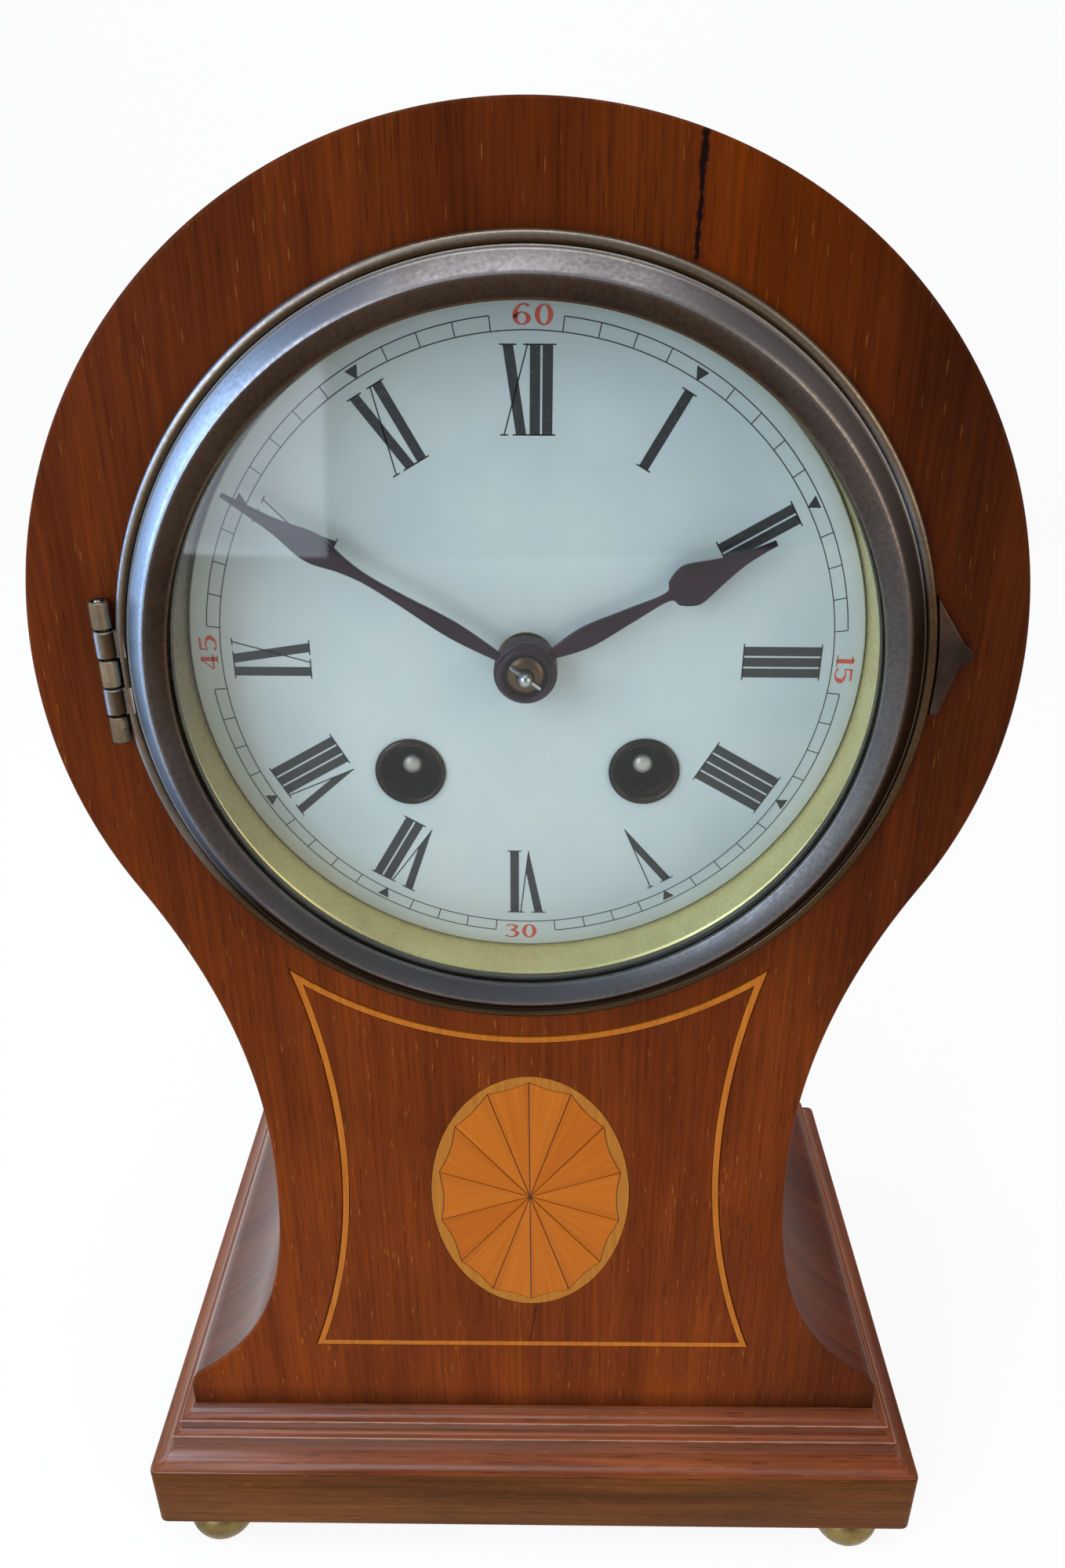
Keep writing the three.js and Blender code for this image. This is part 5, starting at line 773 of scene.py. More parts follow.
def dress_base():
    moulding = mitred(mould_rows(), MOULD_CORNER, PLINTH_CORNER)
    piece("base_mould", MOULD_MAHOGANY, "case", moulding, stands_for=["base_moulding"], slot="mahogany")
    top = -CASE_DROP - MOULD_HEIGHT
    bottom = top - PLINTH_HEIGHT
    turns = [i * math.pi / 8 for i in range(5)]
    rows = [(MOULD_OVERHANG - PLINTH_TOP_ROUND * (1 - math.sin(t)), top - PLINTH_TOP_ROUND * (1 - math.cos(t)))
            for t in turns]
    rows += [(MOULD_OVERHANG - PLINTH_FOOT_ROUND * (1 - math.cos(t)), bottom + PLINTH_FOOT_ROUND * (1 - math.sin(t)))
             for t in turns]
    block = mitred(rows, PLINTH_CORNER, PLINTH_CORNER)
    piece("plinth_block", PLINTH_MAHOGANY, "case", block, stands_for=["plinth"], slot="mahogany")
    half = [(0.62, 0), (0.8, 0.06), (0.93, 0.24), (1, 0.5), (0.96, 0.7), (0.86, 0.86), (0.7, 0.96), (0.66, 1)]
    bun = [(r * FOOT_RADIUS, FLOOR + h * FOOT_HEIGHT) for r, h in smoothed(half, 4)]
    profile = [(0, FLOOR), *bun, (0, FLOOR + FOOT_HEIGHT)]
    ends = {"front": FOOT_END_INSET - MOULD_OVERHANG, "back": CASE_DEPTH + MOULD_OVERHANG - FOOT_END_INSET}
    for side, x in (("left", -1), ("right", 1)):
        for end, depth in ends.items():
            bun_foot = turned(profile, (x * (FOOT_HALF + MOULD_OVERHANG - FOOT_SIDE_INSET), depth), True, 48)
            piece(f"bun_foot_{end}_{side}", FOOT_BRASS, "case", bun_foot, stands_for=[f"foot_{end}_{side}"],
                  slot="foot_brass")


# Bezel door

def barrel(x, depth, low, high):
    """One turned barrel of a hinge, with eased ends."""
    outer, eased = KNUCKLE_RADIUS, KNUCKLE_RADIUS - TURNED_EASE
    section = [(KNUCKLE_BORE, low), (eased, low), (outer, low + TURNED_EASE), (outer, high - TURNED_EASE),
               (eased, high), (KNUCKLE_BORE, high)]
    return turned(section, (x, depth), True, 32)


def hinge_pin(x, depth, low, high, tip):
    """A hinge's pin, its ends eased to a smaller tip."""
    section = [(0, low), (tip, low), (PIN_RADIUS, low + TURNED_EASE), (PIN_RADIUS, high - TURNED_EASE), (tip, high),
               (0, high)]
    return turned(section, (x, depth), True, 24)


def knuckle_ends(number):
    """The lower and upper end of one of the bezel hinge's five knuckles."""
    low = HINGE_LOW + number * KNUCKLE_LENGTH + KNUCKLE_PLAY
    return low, low + KNUCKLE_LENGTH - 2 * KNUCKLE_PLAY


def knuckle(number):
    return barrel(-HINGE_X, -HINGE_PROUD, *knuckle_ends(number))


def box_slab(x0, x1, y0, y1, z0, z1, rounding=0):
    return slab([Vector((x0, z0)), Vector((x1, z0)), Vector((x1, z1)), Vector((x0, z1))], y0, y1, rounding=rounding)


def dress_bezel():
    turns = [math.pi * i / 14 for i in range(15)]
    bead = [(BEAD_MIDDLE + BEAD_HALF * math.cos(t), BEAD_DEPTH - BEAD_RISE * math.sin(t)) for t in turns]
    rebate = GLASS_RADIUS + SEAT_GAP
    section = [(BEZEL_RADIUS, BEZEL_BACK), (BEZEL_RADIUS, -1.1), (58.12, -1.25), *bead, *BEZEL_FILLET,
               *smoothed(BEZEL_BAND, 6), *smoothed(BEZEL_SLOPE, 4), (SIGHT_RADIUS, REBATE_FRONT),
               (rebate, REBATE_FRONT), (rebate, BEZEL_BACK)]
    low, high = HINGE_LOW - SEAT_GAP, HINGE_TOP + SEAT_GAP
    room = turned([(0, low), (HINGE_ROOM, low), (HINGE_ROOM, high), (0, high)], (-HINGE_X, -HINGE_PROUD), True, 32)
    ring = cut(turned(section, segments=RING_STEPS), room)
    webs = [box_slab(-HINGE_X, -56.5, -1.8, -0.8, *knuckle_ends(number)) for number in (1, 3)]
    piece("bezel_turned", BEZEL_BRONZE, "bezel_door", ring, *webs, knuckle(1), knuckle(3), stands_for=["bezel_ring"],
          slot="bezel_brass")

    bow = (GLASS_RADIUS ** 2 + GLASS_RISE ** 2) / (2 * GLASS_RISE)
    reach = [(SIGHT_RADIUS - SEAT_GAP) * i / 24 for i in range(25)]
    dome = [(r, GLASS_EDGE - GLASS_RISE + bow - math.sqrt(bow ** 2 - r ** 2)) for r in reach]
    rim = [(dome[-1][0], GLASS_EDGE), (GLASS_RADIUS, GLASS_EDGE), (GLASS_RADIUS, GLASS_EDGE + GLASS_THICK)]
    under = [(r, depth + GLASS_THICK) for r, depth in reversed(dome)]
    piece("domed_glass", GLASS, "bezel_door", turned([*dome, *rim, *under]), stands_for=["glass"], slot="glass")

    hold = GLASS_EDGE + GLASS_THICK + SEAT_GAP
    ring = filleted([(RETAINER_INNER, hold), (GLASS_RADIUS, hold), (GLASS_RADIUS, hold + RETAINER_THICK),
                     (RETAINER_INNER, hold + RETAINER_THICK)], RETAINER_ROUND)
    piece("glass_ring", RETAINER_BRASS, "bezel_door", turned(ring), stands_for=["glass_retainer"], slot="bezel_brass")

    seat = BEZEL_RADIUS + SEAT_GAP
    joint = BEZEL_RADIUS + TAB_JOINT
    root = arc((0, 0), joint, math.asin(TAB_HIGH / joint), math.asin(TAB_LOW / joint), 24)
    tip = arc((seat + TAB_REACH - TAB_TIP_RADIUS, TAB_TIP_Z), TAB_TIP_RADIUS, -math.pi / 2, math.pi / 2.4, 12)
    tab = slab([*root, Vector((seat + TAB_HEEL, TAB_LOW)), *tip], TAB_FRONT, TAB_BACK, rounding=TAB_ROUND)
    piece("lift_tab_plate", TAB_BRONZE, "bezel_door", tab, stands_for=["lift_tab"], slot="bezel_brass")

    leaf = box_slab(-HINGE_X - 0.9, -HINGE_X + 4.1, 0.3, 1.2, HINGE_LOW, HINGE_TOP)
    webs = [box_slab(-HINGE_X - 0.8, -HINGE_X + 0.8, -1, 0.7, *knuckle_ends(number)) for number in (0, 2, 4)]
    piece("hinge_leaf", HINGE_BRASS, "case", leaf, *webs, knuckle(0), knuckle(2), knuckle(4),
          stands_for=["hinge_case_leaf"], slot="case_brass")
    pin = hinge_pin(-HINGE_X, -HINGE_PROUD, HINGE_LOW, HINGE_TOP, 0.45)
    piece("hinge_pin_turned", STEEL, "case", pin, stands_for=["hinge_pin"], slot="steel")


# Dial and its print

def on_dial(points, hour, radius=0.0):
    """Points drawn upright about the middle of a printed mark, turned to their hour and set out along it."""
    turn = math.radians(30 * hour + DIAL_TURN)
    c, s = math.cos(turn), math.sin(turn)
    return [Vector((p[0] * c + (p[1] + radius) * s, -p[0] * s + (p[1] + radius) * c)) for p in points]


def printed(outline, holes=()):
    return slab(outline, DIAL_DEPTH - INK_PROUD, DIAL_DEPTH + 0.01, holes)


def straight(a, b, width):
    return pen_stroke([Vector(a), Vector(b)], [width, width])


ROMAN_PITCH = {"II": 1.7, "XI": 2.69, "IX": 3, "VI": 2.3}
ROMAN_REACH = {"I": (0.85, 0.85), "V": (2.2, 1.45), "X": (2.15, 1.84)}


def letter(kind, x):
    """The strokes of one Roman figure about its middle x: thick strokes, hairlines and hairline serifs."""
    foot, head, half = NUMERAL_FOOT, NUMERAL_HEAD, NUMERAL_STROKE / 2
    if kind == "I":
        strokes = [[(-half, foot), (half, foot), (half, head), (-half, head)]]
        serifs = [(-1.15, 1.15, foot), (-1.15, 1.15, head)]
    elif kind == "V":
        strokes = [[(0, foot), (0.43, foot + (head - foot) / 3), (-1.02, head), (-2.38, head)],
                   straight((0, foot), (1.3, head), HAIRLINE)]
        serifs = [(-2.85, -0.55, head), (0.75, 1.85, head)]
    else:
        strokes = [[(0.8 - half, foot), (0.8 + half, foot), (half - 0.98, head), (-half - 0.98, head)],
                   straight((-1.54, foot), (1.66, head), HAIRLINE)]
        serifs = [(-2.13, 0.17, head), (1.1, 2.2, head), (-0.35, 1.95, foot), (-2.1, -1, foot)]
    strokes += [straight((a, z), (b, z), HAIRLINE) for a, b, z in serifs]
    return [[(p[0] + x, p[1]) for p in stroke] for stroke in strokes]


def numeral(text, hour):
    """A Roman number, its figures set close and the whole centred on its hour."""
    places = [0.0]
    for pair in zip(text, text[1:]):
        places.append(places[-1] + ROMAN_PITCH["".join(pair)])
    shift = (ROMAN_REACH[text[0]][0] - places[-1] - ROMAN_REACH[text[-1]][1]) / 2
    return [printed(on_dial(outline, hour)) for kind, x in zip(text, places) for outline in letter(kind, x + shift)]


# The red figures: rings as (middle, half sizes, half sizes of the hollow), and strokes as points with widths
FIGURES = {
    "0": [((0.32, 0.5), (0.32, 0.5), (0.14, 0.42))],
    "6": [((0.32, 0.31), (0.31, 0.31), (0.14, 0.24)),
          [(0.06, 0.33, 0.14), (0.09, 0.62, 0.16), (0.22, 0.88, 0.11), (0.42, 0.97, 0.08), (0.55, 0.87, 0.14)]],
    "1": [[(0.32, 0, 0.18), (0.32, 1, 0.18)], [(0.1, 0.83, 0.05), (0.3, 0.97, 0.1)],
          [(0.08, 0.03, 0.06), (0.56, 0.03, 0.06)]],
    "5": [[(0.11, 0.98, 0.07), (0.08, 0.53, 0.05)], [(0.09, 0.92, 0.14), (0.56, 0.94, 0.13)],
          [(0.08, 0.53, 0.05), (0.3, 0.62, 0.09), (0.53, 0.5, 0.17), (0.56, 0.28, 0.19), (0.42, 0.06, 0.11),
           (0.2, 0.04, 0.07), (0.07, 0.15, 0.13)]],
    "3": [[(0.09, 0.84, 0.13), (0.28, 0.96, 0.07), (0.48, 0.84, 0.16), (0.46, 0.65, 0.14), (0.24, 0.54, 0.05)],
          [(0.24, 0.54, 0.05), (0.5, 0.44, 0.14), (0.55, 0.25, 0.18), (0.4, 0.05, 0.11), (0.18, 0.04, 0.07),
           (0.06, 0.16, 0.14)]],
    "4": [[(0.44, 0.98, 0.06), (0.05, 0.3, 0.06)], [(0.03, 0.28, 0.09), (0.64, 0.28, 0.09)],
          [(0.45, 0.98, 0.18), (0.45, 0.02, 0.18)], [(0.28, 0.03, 0.06), (0.62, 0.03, 0.06)]],
}
FIGURE_HEIGHT, FIGURE_WIDE, FIGURE_RADIUS, FIGURE_TURN = 2.65, 1.45, 47.9, 1 / 30
FIGURE_STEP = {"1": 0.82}


def red_number(text, hour, inward=False):
    """A number on the minute ring, its top outwards, or inwards at the foot of the dial."""
    marks = []
    steps = [FIGURE_STEP.get(character, 1.1) for character in text]
    for place, character in enumerate(text):
        start = sum(steps[:place]) - (steps[0] + 0.93) / 2
        for stroke in FIGURES[character]:
            if isinstance(stroke, tuple):
                (x, y), half, inside = stroke
                rounds = [[(x + math.cos(t) * w, y + math.sin(t) * h) for t in (math.tau * i / 28 for i in range(28))]
                          for w, h in (half, inside)]
            else:
                line = smoothed([(x, y) for x, y, _ in stroke], 5)
                widths = [w.y for w in smoothed([(i, w) for i, (_, _, w) in enumerate(stroke)], 5)]
                rounds = [pen_stroke(line, widths)]
            size = -FIGURE_HEIGHT if inward else FIGURE_HEIGHT
            sized = [[(size * (start + p[0] * FIGURE_WIDE), size * (p[1] - 0.5)) for p in loop] for loop in rounds]
            outlines = [on_dial(loop, hour + FIGURE_TURN, FIGURE_RADIUS) for loop in sized]
            marks.append(printed(outlines[0], outlines[1:]))
    return marks


def rails():
    """The two lines of the minute ring: the inner one whole, the outer one broken at the red numbers."""
    half, gap = RAIL_LINE / 2, 6
    lines = [printed(circle((0, 0), RAIL_INNER + half, 240), [circle((0, 0), RAIL_INNER - half, 240)])]
    for quarter in range(4):
        start = math.radians(90 * quarter + gap - DIAL_TURN)
        end = math.radians(90 * quarter + 90 - gap - DIAL_TURN)
        lines.append(printed(arc((0, 0), RAIL_OUTER + half, start, end, 60)
                             + arc((0, 0), RAIL_OUTER - half, end, start, 60)))
    return lines


def minute_marks():
    """Cross lines at the minutes and arrows at the fives, but for the quarters, by instances on a ring."""
    sizes = {"Minutes": 60, "Ring Radius": (RAIL_INNER + RAIL_OUTER) / 2 * MM,
             "Line Length": (RAIL_OUTER - RAIL_INNER) * MM, "Line Width": RAIL_LINE * MM,
             "Ink Thickness": 2 * INK_PROUD * MM, "Arrow Radius": 1.15 * MM, "Ink": BLACK_INK}
    kinds = {"Minutes": "NodeSocketInt", "Ink": "NodeSocketMaterial"}
    tree = bpy.data.node_groups.new("minute_marks", "GeometryNodeTree")
    tree.interface.new_socket("Marks", in_out="OUTPUT", socket_type="NodeSocketGeometry")
    sockets = {size: tree.interface.new_socket(size, in_out="INPUT", socket_type=kinds.get(size, "NodeSocketFloat"))
               for size in sizes}
    given = add(tree, "NodeGroupInput", out=None).outputs
    ring = add(tree, "GeometryNodeMeshCircle", {"Vertices": given["Minutes"], "Radius": given["Ring Radius"]})
    minute = add(tree, "GeometryNodeInputIndex")
    after_five = add(tree, "Math", {0: minute, 1: 5.0}, operation="MODULO")
    after_quarter = add(tree, "Math", {0: minute, 1: 15.0}, operation="MODULO")
    plain = add(tree, "Math", {0: after_five, 1: 0.5}, operation="GREATER_THAN")
    past = add(tree, "Math", {0: after_quarter, 1: 0.5}, operation="GREATER_THAN")
    five = add(tree, "Math", {0: past, 1: plain}, operation="SUBTRACT", use_clamp=True)
    share = add(tree, "Math", {0: minute, 1: given["Minutes"]}, operation="DIVIDE")
    angle = add(tree, "Math", {0: share, 1: math.tau}, operation="MULTIPLY")
    euler = add(tree, "CombineXYZ", {2: angle})
    turn = add(tree, "FunctionNodeEulerToRotation", {0: euler})
    bar = add(tree, "CombineXYZ", {0: given["Line Length"], 1: given["Line Width"], 2: given["Ink Thickness"]})
    line = add(tree, "GeometryNodeMeshCube", {"Size": bar})
    arrow = add(tree, "GeometryNodeMeshCylinder", {"Vertices": 3, "Radius": given["Arrow Radius"],
                                                   "Depth": given["Ink Thickness"]})
    about = add(tree, "GeometryNodeTransform", {"Geometry": arrow, "Rotation": (0, 0, math.pi)})
    lines = add(tree, "GeometryNodeInstanceOnPoints", {"Points": ring, "Selection": plain, "Instance": line,
                                                       "Rotation": turn})
    arrows = add(tree, "GeometryNodeInstanceOnPoints", {"Points": ring, "Selection": five, "Instance": about,
                                                        "Rotation": turn})
    joined = add(tree, "GeometryNodeJoinGeometry", {0: lines}, out=None)
    tree.links.new(arrows, joined.inputs[0])
    upright = add(tree, "GeometryNodeTransform", {"Geometry": joined.outputs[0], "Translation": spot(0, DIAL_DEPTH, 0),
                                                  "Rotation": (math.pi / 2, math.radians(DIAL_TURN), 0)})
    real = add(tree, "GeometryNodeRealizeInstances", {"Geometry": upright})
    inked = add(tree, "GeometryNodeSetMaterial", {"Geometry": real, "Material": given["Ink"]})
    add(tree, "NodeGroupOutput", {0: inked}, out=None)
    holder = bpy.data.objects.new("marks", bpy.data.meshes.new("marks"))
    bpy.context.scene.collection.objects.link(holder)
    modifier = holder.modifiers.new("marks", "NODES")
    modifier.node_group = tree
    for size, value in sizes.items():
        modifier[sockets[size].identifier] = value
    depsgraph = bpy.context.evaluated_depsgraph_get()
    mesh = bpy.data.meshes.new_from_object(holder.evaluated_get(depsgraph), depsgraph=depsgraph)
    bpy.data.objects.remove(holder)
    return mesh


def dress_dial():
    eased = MOUNT_FRONT + MOUNT_ARRIS
    mount = [(MOUNT_INNER, eased), (MOUNT_INNER + MOUNT_ARRIS, MOUNT_FRONT), (MOUNT_OUTER - MOUNT_ARRIS, MOUNT_FRONT),
             (MOUNT_OUTER, eased), (MOUNT_OUTER, MOUNT_BACK), (SLEEVE_OUTER, MOUNT_BACK), (SLEEVE_OUTER, SLEEVE_BACK),
             (SLEEVE_INNER, SLEEVE_BACK), (SLEEVE_INNER, MOUNT_SEAT), (MOUNT_INNER, MOUNT_SEAT)]
    ring = turned(mount, segments=RING_STEPS)
    piece("dial_ring", DIAL_BRASS, "case", ring, stands_for=["dial_mount"], slot="dial_brass")
    winding = [(-WINDING_X, -WINDING_DROP), (WINDING_X, -WINDING_DROP)]
    holes = [circle(place, WINDING_HOLE, 64) for place in winding] + [circle((0, 0), DIAL_HOLE, 64)]
    plate = slab(circle((0, 0), DIAL_RADIUS, RING_STEPS), DIAL_DEPTH, DIAL_DEPTH + DIAL_THICK, holes, DIAL_ROUND)
    piece("enamel_plate", ENAMEL, "case", plate, stands_for=["dial"], slot="enamel")
    face = DIAL_DEPTH - GROMMET_PROUD
    bowl = smoothed([(GROMMET_RADIUS, face), (5.5, face - 0.36), (5.2, face - 0.55), (4.85, face - 0.5),
                     (4.5, face - 0.1), (4.15, face + 0.6), (GROMMET_BORE, face + 1.3)], 4)
    end = face + GROMMET_LENGTH
    section = [*bowl, (GROMMET_BORE, end), (GROMMET_TUBE, end), (GROMMET_TUBE, face)]
    for side, place in zip(("left", "right"), winding):
        piece(f"grommet_{side}", GROMMET_STEEL, "case", turned(section, place, segments=72),
              stands_for=[f"winding_grommet_{side}"], slot="grommet_steel")
    hours = ["XII", "I", "II", "III", "IIII", "V", "VI", "VII", "VIII", "IX", "X", "XI"]
    black = [mark for hour, text in enumerate(hours) for mark in numeral(text, hour)]
    piece("black_print", BLACK_INK, "case", *black, *rails(), minute_marks(), slot="enamel")
    red = red_number("60", 0) + red_number("15", 3) + red_number("30", 6, True) + red_number("45", 9)
    piece("red_print", RED_INK, "case", *red, slot="enamel")


# Hands and what holds them

def hand_outline(edge, angle):
    """A hand's outline: a round boss and a blade that swells and narrows to its tip."""
    blade = smoothed(edge, 10)
    spread = math.asin(blade[0].x / HAND_BOSS)
    boss = arc((0, 0), HAND_BOSS, math.pi / 2 + spread, math.pi * 2.5 - spread, 60)
    loop = boss + blade[1:] + [Vector((-p.x, p.y)) for p in reversed(blade[1:])]
    c, s = math.cos(math.radians(angle)), math.sin(math.radians(angle))
    return [Vector((p.x * c + p.y * s, -p.x * s + p.y * c)) for p in loop]


def dress_hands():
    for name, edge, angle, depth, bore, body in (
            ("minute", MINUTE_HAND_EDGE, MINUTE_HAND_ANGLE, MINUTE_HAND_DEPTH, MINUTE_HAND_BORE, "minute_work"),
            ("hour", HOUR_HAND_EDGE, HOUR_HAND_ANGLE, HOUR_HAND_DEPTH, HOUR_HAND_BORE, "hour_work")):
        outline, holes = hand_outline(edge, angle), [circle((0, 0), bore, 64)]
        hand = slab(outline, depth, depth + HAND_THICK, holes, HAND_ROUND, steps=5)
        piece(f"{name}_hand_blade", HAND_STEEL, body, hand, stands_for=[f"{name}_hand"], slot="blued_steel")
    cup = [(r, MINUTE_HAND_DEPTH + depth) for r, depth in MINUTE_CUP]
    piece("minute_hand_boss", HAND_STEEL, "minute_work", turned(cup, segments=72), slot="blued_steel")
    foot = HOUR_HAND_DEPTH + COLLAR_SUNK
    collar = [(COLLAR_MIDDLE + COLLAR_HALF * math.cos(t), foot - COLLAR_RISE * math.sin(t))
              for t in (math.pi * i / 14 for i in range(15))]
    piece("hour_hand_boss", HAND_STEEL, "hour_work", turned(collar, segments=72), slot="blued_steel")
    low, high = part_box("hand_collet")
    front, back = (low.y - PANEL_FACE) / MM, (high.y - PANEL_FACE) / MM
    rim = (high.x - low.x) / 2 / MM
    domed = [(COLLET_BORE, front), (1.7, front + 0.02), (2.2, front + 0.16), (rim - 0.15, front + 0.42),
             (rim, front + 0.6), (rim, back), (COLLET_BORE, back)]
    piece("hand_washer", COLLET_BRASS, "centre", turned(domed, segments=64), stands_for=["hand_collet"],
          slot="movement_brass")
    low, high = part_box("hand_taper_pin")
    depth = ((low.y + high.y) / 2 - PANEL_FACE) / MM
    pin = turned([(0, -2.8), (0.24, -2.78), (0.3, -2.6), (0.4, 2.6), (0.34, 2.78), (0, 2.8)], segments=24)
    middle = spot(0, 0, 0)
    slant = Matrix.Rotation(math.radians(TAPER_PIN_SLANT), 4, "Y") @ Matrix.Rotation(math.radians(90), 4, "Z")
    pin.transform(Matrix.Translation(spot(0, depth, 0)) @ slant @ Matrix.Translation(-middle))
    piece("taper_pin", STEEL, "centre", pin, stands_for=["hand_taper_pin"], slot="steel")
    tip = (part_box("centre_wheel")[0].y - PANEL_FACE) / MM
    button = [(0, tip - CENTRE_END), *arc((0, tip), CENTRE_END, -math.pi / 2, 0, 8)[1:], (CENTRE_END, tip + 0.3),
              (0, tip + 0.3)]
    piece("centre_arbor_end", STEEL, "centre", turned(button, segments=32), slot="steel")


# Back ring, back door and bell

def dress_back():
    board, front = CASE_DEPTH - BACK_THICK, CASE_DEPTH + SEAT_GAP
    back = front + BACK_RING_THICK
    tube = BACK_HOLE_RADIUS - SEAT_GAP
    inner = tube - BACK_TUBE_WALL
    section = filleted([(inner, board), (tube, board), (tube, front), (BACK_RING_RADIUS, front),
                        (BACK_RING_RADIUS, back), (inner, back)], 0.35)
    axis = back + SEAT_GAP
    half, web_end = DOOR_KNUCKLE_LENGTH / 2, DOOR_HINGE_X - 0.95
    held = []
    for low in (-half - SEAT_GAP - DOOR_KNUCKLE_LENGTH, half + SEAT_GAP):
        high = low + DOOR_KNUCKLE_LENGTH
        held += [barrel(DOOR_HINGE_X, axis, low, high),
                 box_slab(BACK_RING_RADIUS - WEB_OVERLAP, web_end, front, back, low, high, WEB_ROUND)]
    end = 1.4 * DOOR_KNUCKLE_LENGTH
    pin = hinge_pin(DOOR_HINGE_X, axis, -end, end, 0.5)
    piece("back_ring_turned", DOOR_BRASS, "case", turned(section, segments=RING_STEPS), *held, pin,
          stands_for=["back_ring"], slot="case_brass")

    front, back = axis, axis + DOOR_THICK
    foot, crown, hollow_front = DISH_RADIUS + DISH_SLOPE, back + DISH_RISE, front + DISH_HOLLOW
    rim = filleted([(foot, front), (DOOR_RADIUS, front), (DOOR_RADIUS, back), (foot, back)], 0.5)[5:15]
    swell = smoothed([(foot, back), (foot - 0.5, back + 0.05), (DISH_RADIUS + DISH_SLOPE / 2, back + DISH_RISE / 2),
                      (DISH_RADIUS + 0.5, crown - 0.05), (DISH_RADIUS, crown)], 5)
    section = [(0, hollow_front), (DISH_RADIUS, hollow_front), (foot, front), *rim, *swell, (0, crown)]
    root, reach = WEB_OVERLAP - DOOR_RADIUS, -DOOR_RADIUS - DOOR_GRIP_REACH
    grip = filleted([(root, -DOOR_GRIP_HALF), (root, DOOR_GRIP_HALF), (reach, DOOR_GRIP_HALF),
                     (reach, -DOOR_GRIP_HALF)], 1.5, 6)
    web = box_slab(DOOR_RADIUS - WEB_OVERLAP, web_end, front, front + DOOR_WEB_THICK, -half, half, WEB_ROUND)
    piece("back_door_spun", DOOR_BRASS, "rear_door", turned(section, segments=RING_STEPS), web,
          barrel(DOOR_HINGE_X, axis, -half, half), slab(grip, front, back - 0.1, rounding=0.3, both=True),
          stands_for=["back_door"], slot="case_brass")

    inner, bell_under = BELL_RADIUS - BELL_WALL, BELL_FRONT + BELL_WALL
    outside = [(BELL_HOLE, BELL_FRONT), *[(r * BELL_RADIUS, BELL_FRONT + d * BELL_DEPTH) for r, d in BELL_SHAPE]]
    inside = [(inner, BELL_FRONT + BELL_DEPTH),
              *[(r * inner, bell_under + d * BELL_DEPTH) for r, d in reversed(BELL_SHAPE[:-1])],
              (BELL_HOLE, bell_under)]
    bell = turned(smoothed(outside) + smoothed(inside), segments=128)
    piece("bell_turned", BELL_METAL, "case", bell, stands_for=["bell"], slot="bell_metal")


# Movement and pendulum, carried over from the solids

def dress_movement():
    carried(MOVEMENT_BRASS, "front_plate", "back_plate", "plate_pillar_1", "plate_pillar_2", "plate_pillar_3",
            "plate_pillar_4", "case_strap_left", "case_strap_right", "going_barrel", "strike_barrel",
            "intermediate_wheel", "centre_wheel", "third_wheel", "escape_wheel", "strike_second_wheel",
            "strike_pin_wheel", "strike_fly", "minute_wheel", "hour_wheel", "back_cock", "bell_stand")
    # The winding arbors are painted near black for the shade inside the winding holes
    carried(SHADE_DARK_STEEL, "going_winding_arbor", "strike_winding_arbor")
    carried(STEEL, "going_click", "strike_click", "cannon_pinion",
            "pallets_and_crutch", "suspension_spring", "strike_hammer")
    carried(MOVEMENT_BRASS, "pendulum_rod", "pendulum_bob", edge=0.2)
    for side, x, body in (("going", WINDING_X, "going_winder"), ("strike", -WINDING_X, "strike_winder")):
        tip = (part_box(f"{side}_winding_arbor")[0].y - PANEL_FACE) / MM
        dome = [(0, tip - WINDER_END), *arc((0, tip), WINDER_END, -math.pi / 2, 0, 8)[1:]]
        button = [(r, tip + (depth - tip) * 0.5) for r, depth in dome] + [(WINDER_END, tip + 0.4), (0, tip + 0.4)]
        piece(f"{side}_arbor_end", ARBOR_STEEL, body, turned(button, (x, -WINDING_DROP), segments=32), slot="steel")


dress_case()
dress_patera()
dress_base()
dress_bezel()
dress_dial()
dress_hands()
dress_back()
dress_movement()


# Stage, light and camera

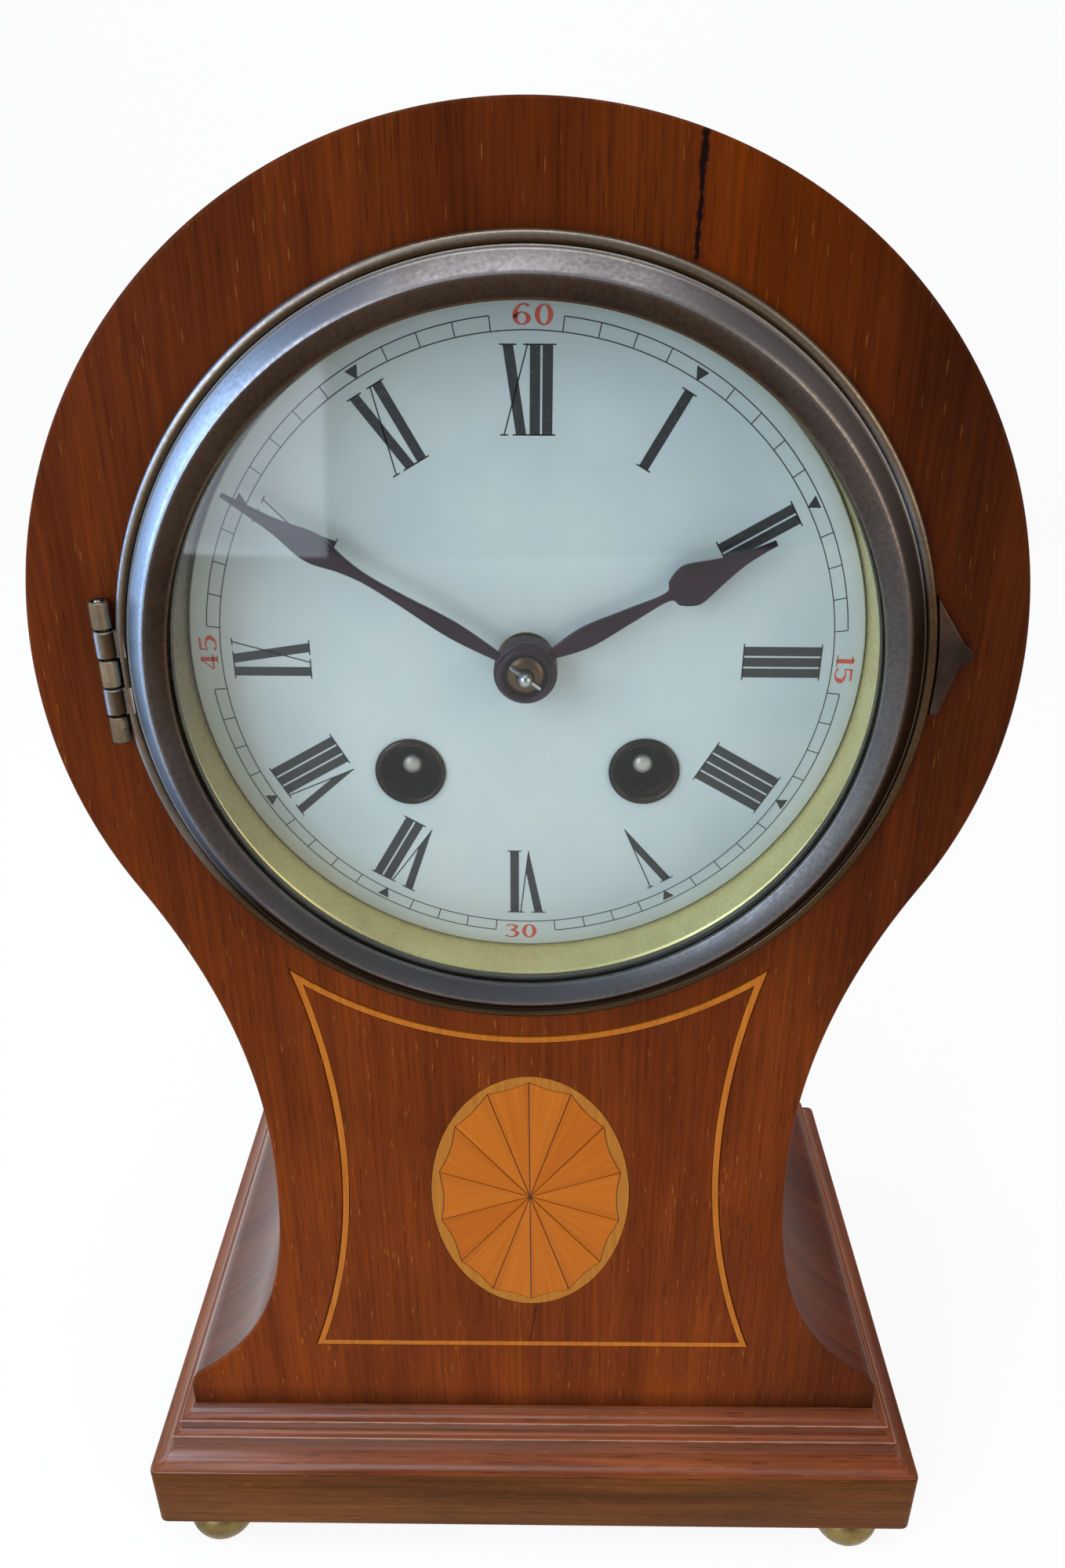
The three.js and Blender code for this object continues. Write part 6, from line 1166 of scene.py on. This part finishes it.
def pale_stage():
    """A pale floor that curves up into a backdrop."""
    near, far, curve, half_width, top = -1.8, 0.8, 0.5, 2, 2
    turns = [math.pi / 2 * i / 16 for i in range(17)]
    rise = [(far + curve * math.sin(t), curve - curve * math.cos(t)) for t in turns]
    section = [(near, 0), *rise, (far + curve, top)]
    points = [(x, y, z) for y, z in section for x in (-half_width, half_width)]
    faces = [(2 * i, 2 * i + 1, 2 * i + 3, 2 * i + 2) for i in range(len(section) - 1)]
    mesh = bpy.data.meshes.new("floor")
    mesh.from_pydata(points, [], faces)
    mesh.shade_smooth()
    material, tree, shader, _ = start_finish("pale_paper", Roughness=0.9, Specular_IOR_Level=0.0,
                                             Base_Color=paint("#f4f3f0"))
    # What the camera, metal and glass see of the paper is mostly its own white, with the shadow left in
    rays = add(tree, "LightPath", out=None).outputs
    seen = add(tree, "Math", {0: rays["Is Camera Ray"], 1: rays["Is Glossy Ray"]}, operation="MAXIMUM")
    seen = add(tree, "Math", {0: seen, 1: rays["Is Transmission Ray"]}, operation="MAXIMUM")
    share = add(tree, "Math", {0: seen, 1: 0.9}, operation="MULTIPLY")
    white = add(tree, "Emission", {"Color": paint("#ffffff"), "Strength": 1.0})
    mixed = add(tree, "MixShader", {0: share, 1: shader.outputs[0], 2: white})
    tree.links.new(mixed, tree.nodes["Material Output"].inputs["Surface"])
    mesh.materials.append(material)
    floor = bpy.data.objects.new("floor", mesh)
    bpy.context.scene.collection.objects.link(floor)


def soft_lamp(name, place, target, size, power, code):
    lamp = bpy.data.lights.new(name, "AREA")
    lamp.shape, lamp.size, lamp.size_y = "RECTANGLE", *size
    lamp.energy, lamp.color = power, paint(code)[:3]
    made = bpy.data.objects.new(name, lamp)
    made.location = place
    made.rotation_euler = (Vector(target) - Vector(place)).to_track_quat("-Z", "Y").to_euler()
    bpy.context.scene.collection.objects.link(made)


# Each lamp's name, its place, where it points, its size, power and colour
CLOCK_MIDDLE = (0, -0.03, 0.15)
LAMPS = [("window_key", (-0.75, -0.75, 0.7), CLOCK_MIDDLE, (0.7, 0.8), 9.5, "#dbe8ff"),
         ("side_window", (-1.0, 0.05, 0.45), CLOCK_MIDDLE, (0.7, 0.9), 6, "#d3e3ff"),
         ("window_pane", (-0.5, -0.95, 0.33), CLOCK_MIDDLE, (0.28, 0.5), 1.8, "#e4eeff"),
         ("warm_fill", (0.85, -0.6, 0.45), CLOCK_MIDDLE, (0.5, 0.7), 4, "#ffe9d2"),
         ("top_soft", (0, -0.1, 1.2), (0, 0, 0.1), (0.9, 0.9), 7, "#f6f8ff")]
CAMERA_PLACE, CAMERA_YAW, CAMERA_PITCH, CAMERA_ROLL = (0.003455, -0.21259, 0.25234), -0.0208, 0.4882, -0.00967
SENSOR_WIDTH, FOCAL_LENGTH, SHIFT_X, SHIFT_Y = 36, 27.666, 0.0036, 0.0388


def light_and_camera():
    scene = bpy.context.scene
    for lamp in LAMPS:
        soft_lamp(*lamp)
    world = bpy.data.worlds.new("room")
    world.use_nodes = True
    shade = world.node_tree.nodes["Background"].inputs
    shade["Color"].default_value, shade["Strength"].default_value = paint("#d9dfe8"), 0.35
    scene.world = world
    scene.view_settings.view_transform = "Standard"
    yaw, pitch = CAMERA_YAW, CAMERA_PITCH
    ahead = Vector((math.sin(yaw) * math.cos(pitch), math.cos(yaw) * math.cos(pitch), -math.sin(pitch)))
    right = Vector((math.cos(yaw), -math.sin(yaw), 0))
    turn = Matrix((right, right.cross(ahead), -ahead)).transposed() @ Matrix.Rotation(CAMERA_ROLL, 3, "Z")
    lens = bpy.data.cameras.new("camera")
    lens.sensor_width, lens.lens, lens.shift_x, lens.shift_y = SENSOR_WIDTH, FOCAL_LENGTH, SHIFT_X, SHIFT_Y
    lens.clip_start = 0.01
    camera = bpy.data.objects.new("camera", lens)
    camera.matrix_world = Matrix.Translation(CAMERA_PLACE) @ turn.to_4x4()
    scene.collection.objects.link(camera)
    scene.camera = camera


pale_stage()
light_and_camera()
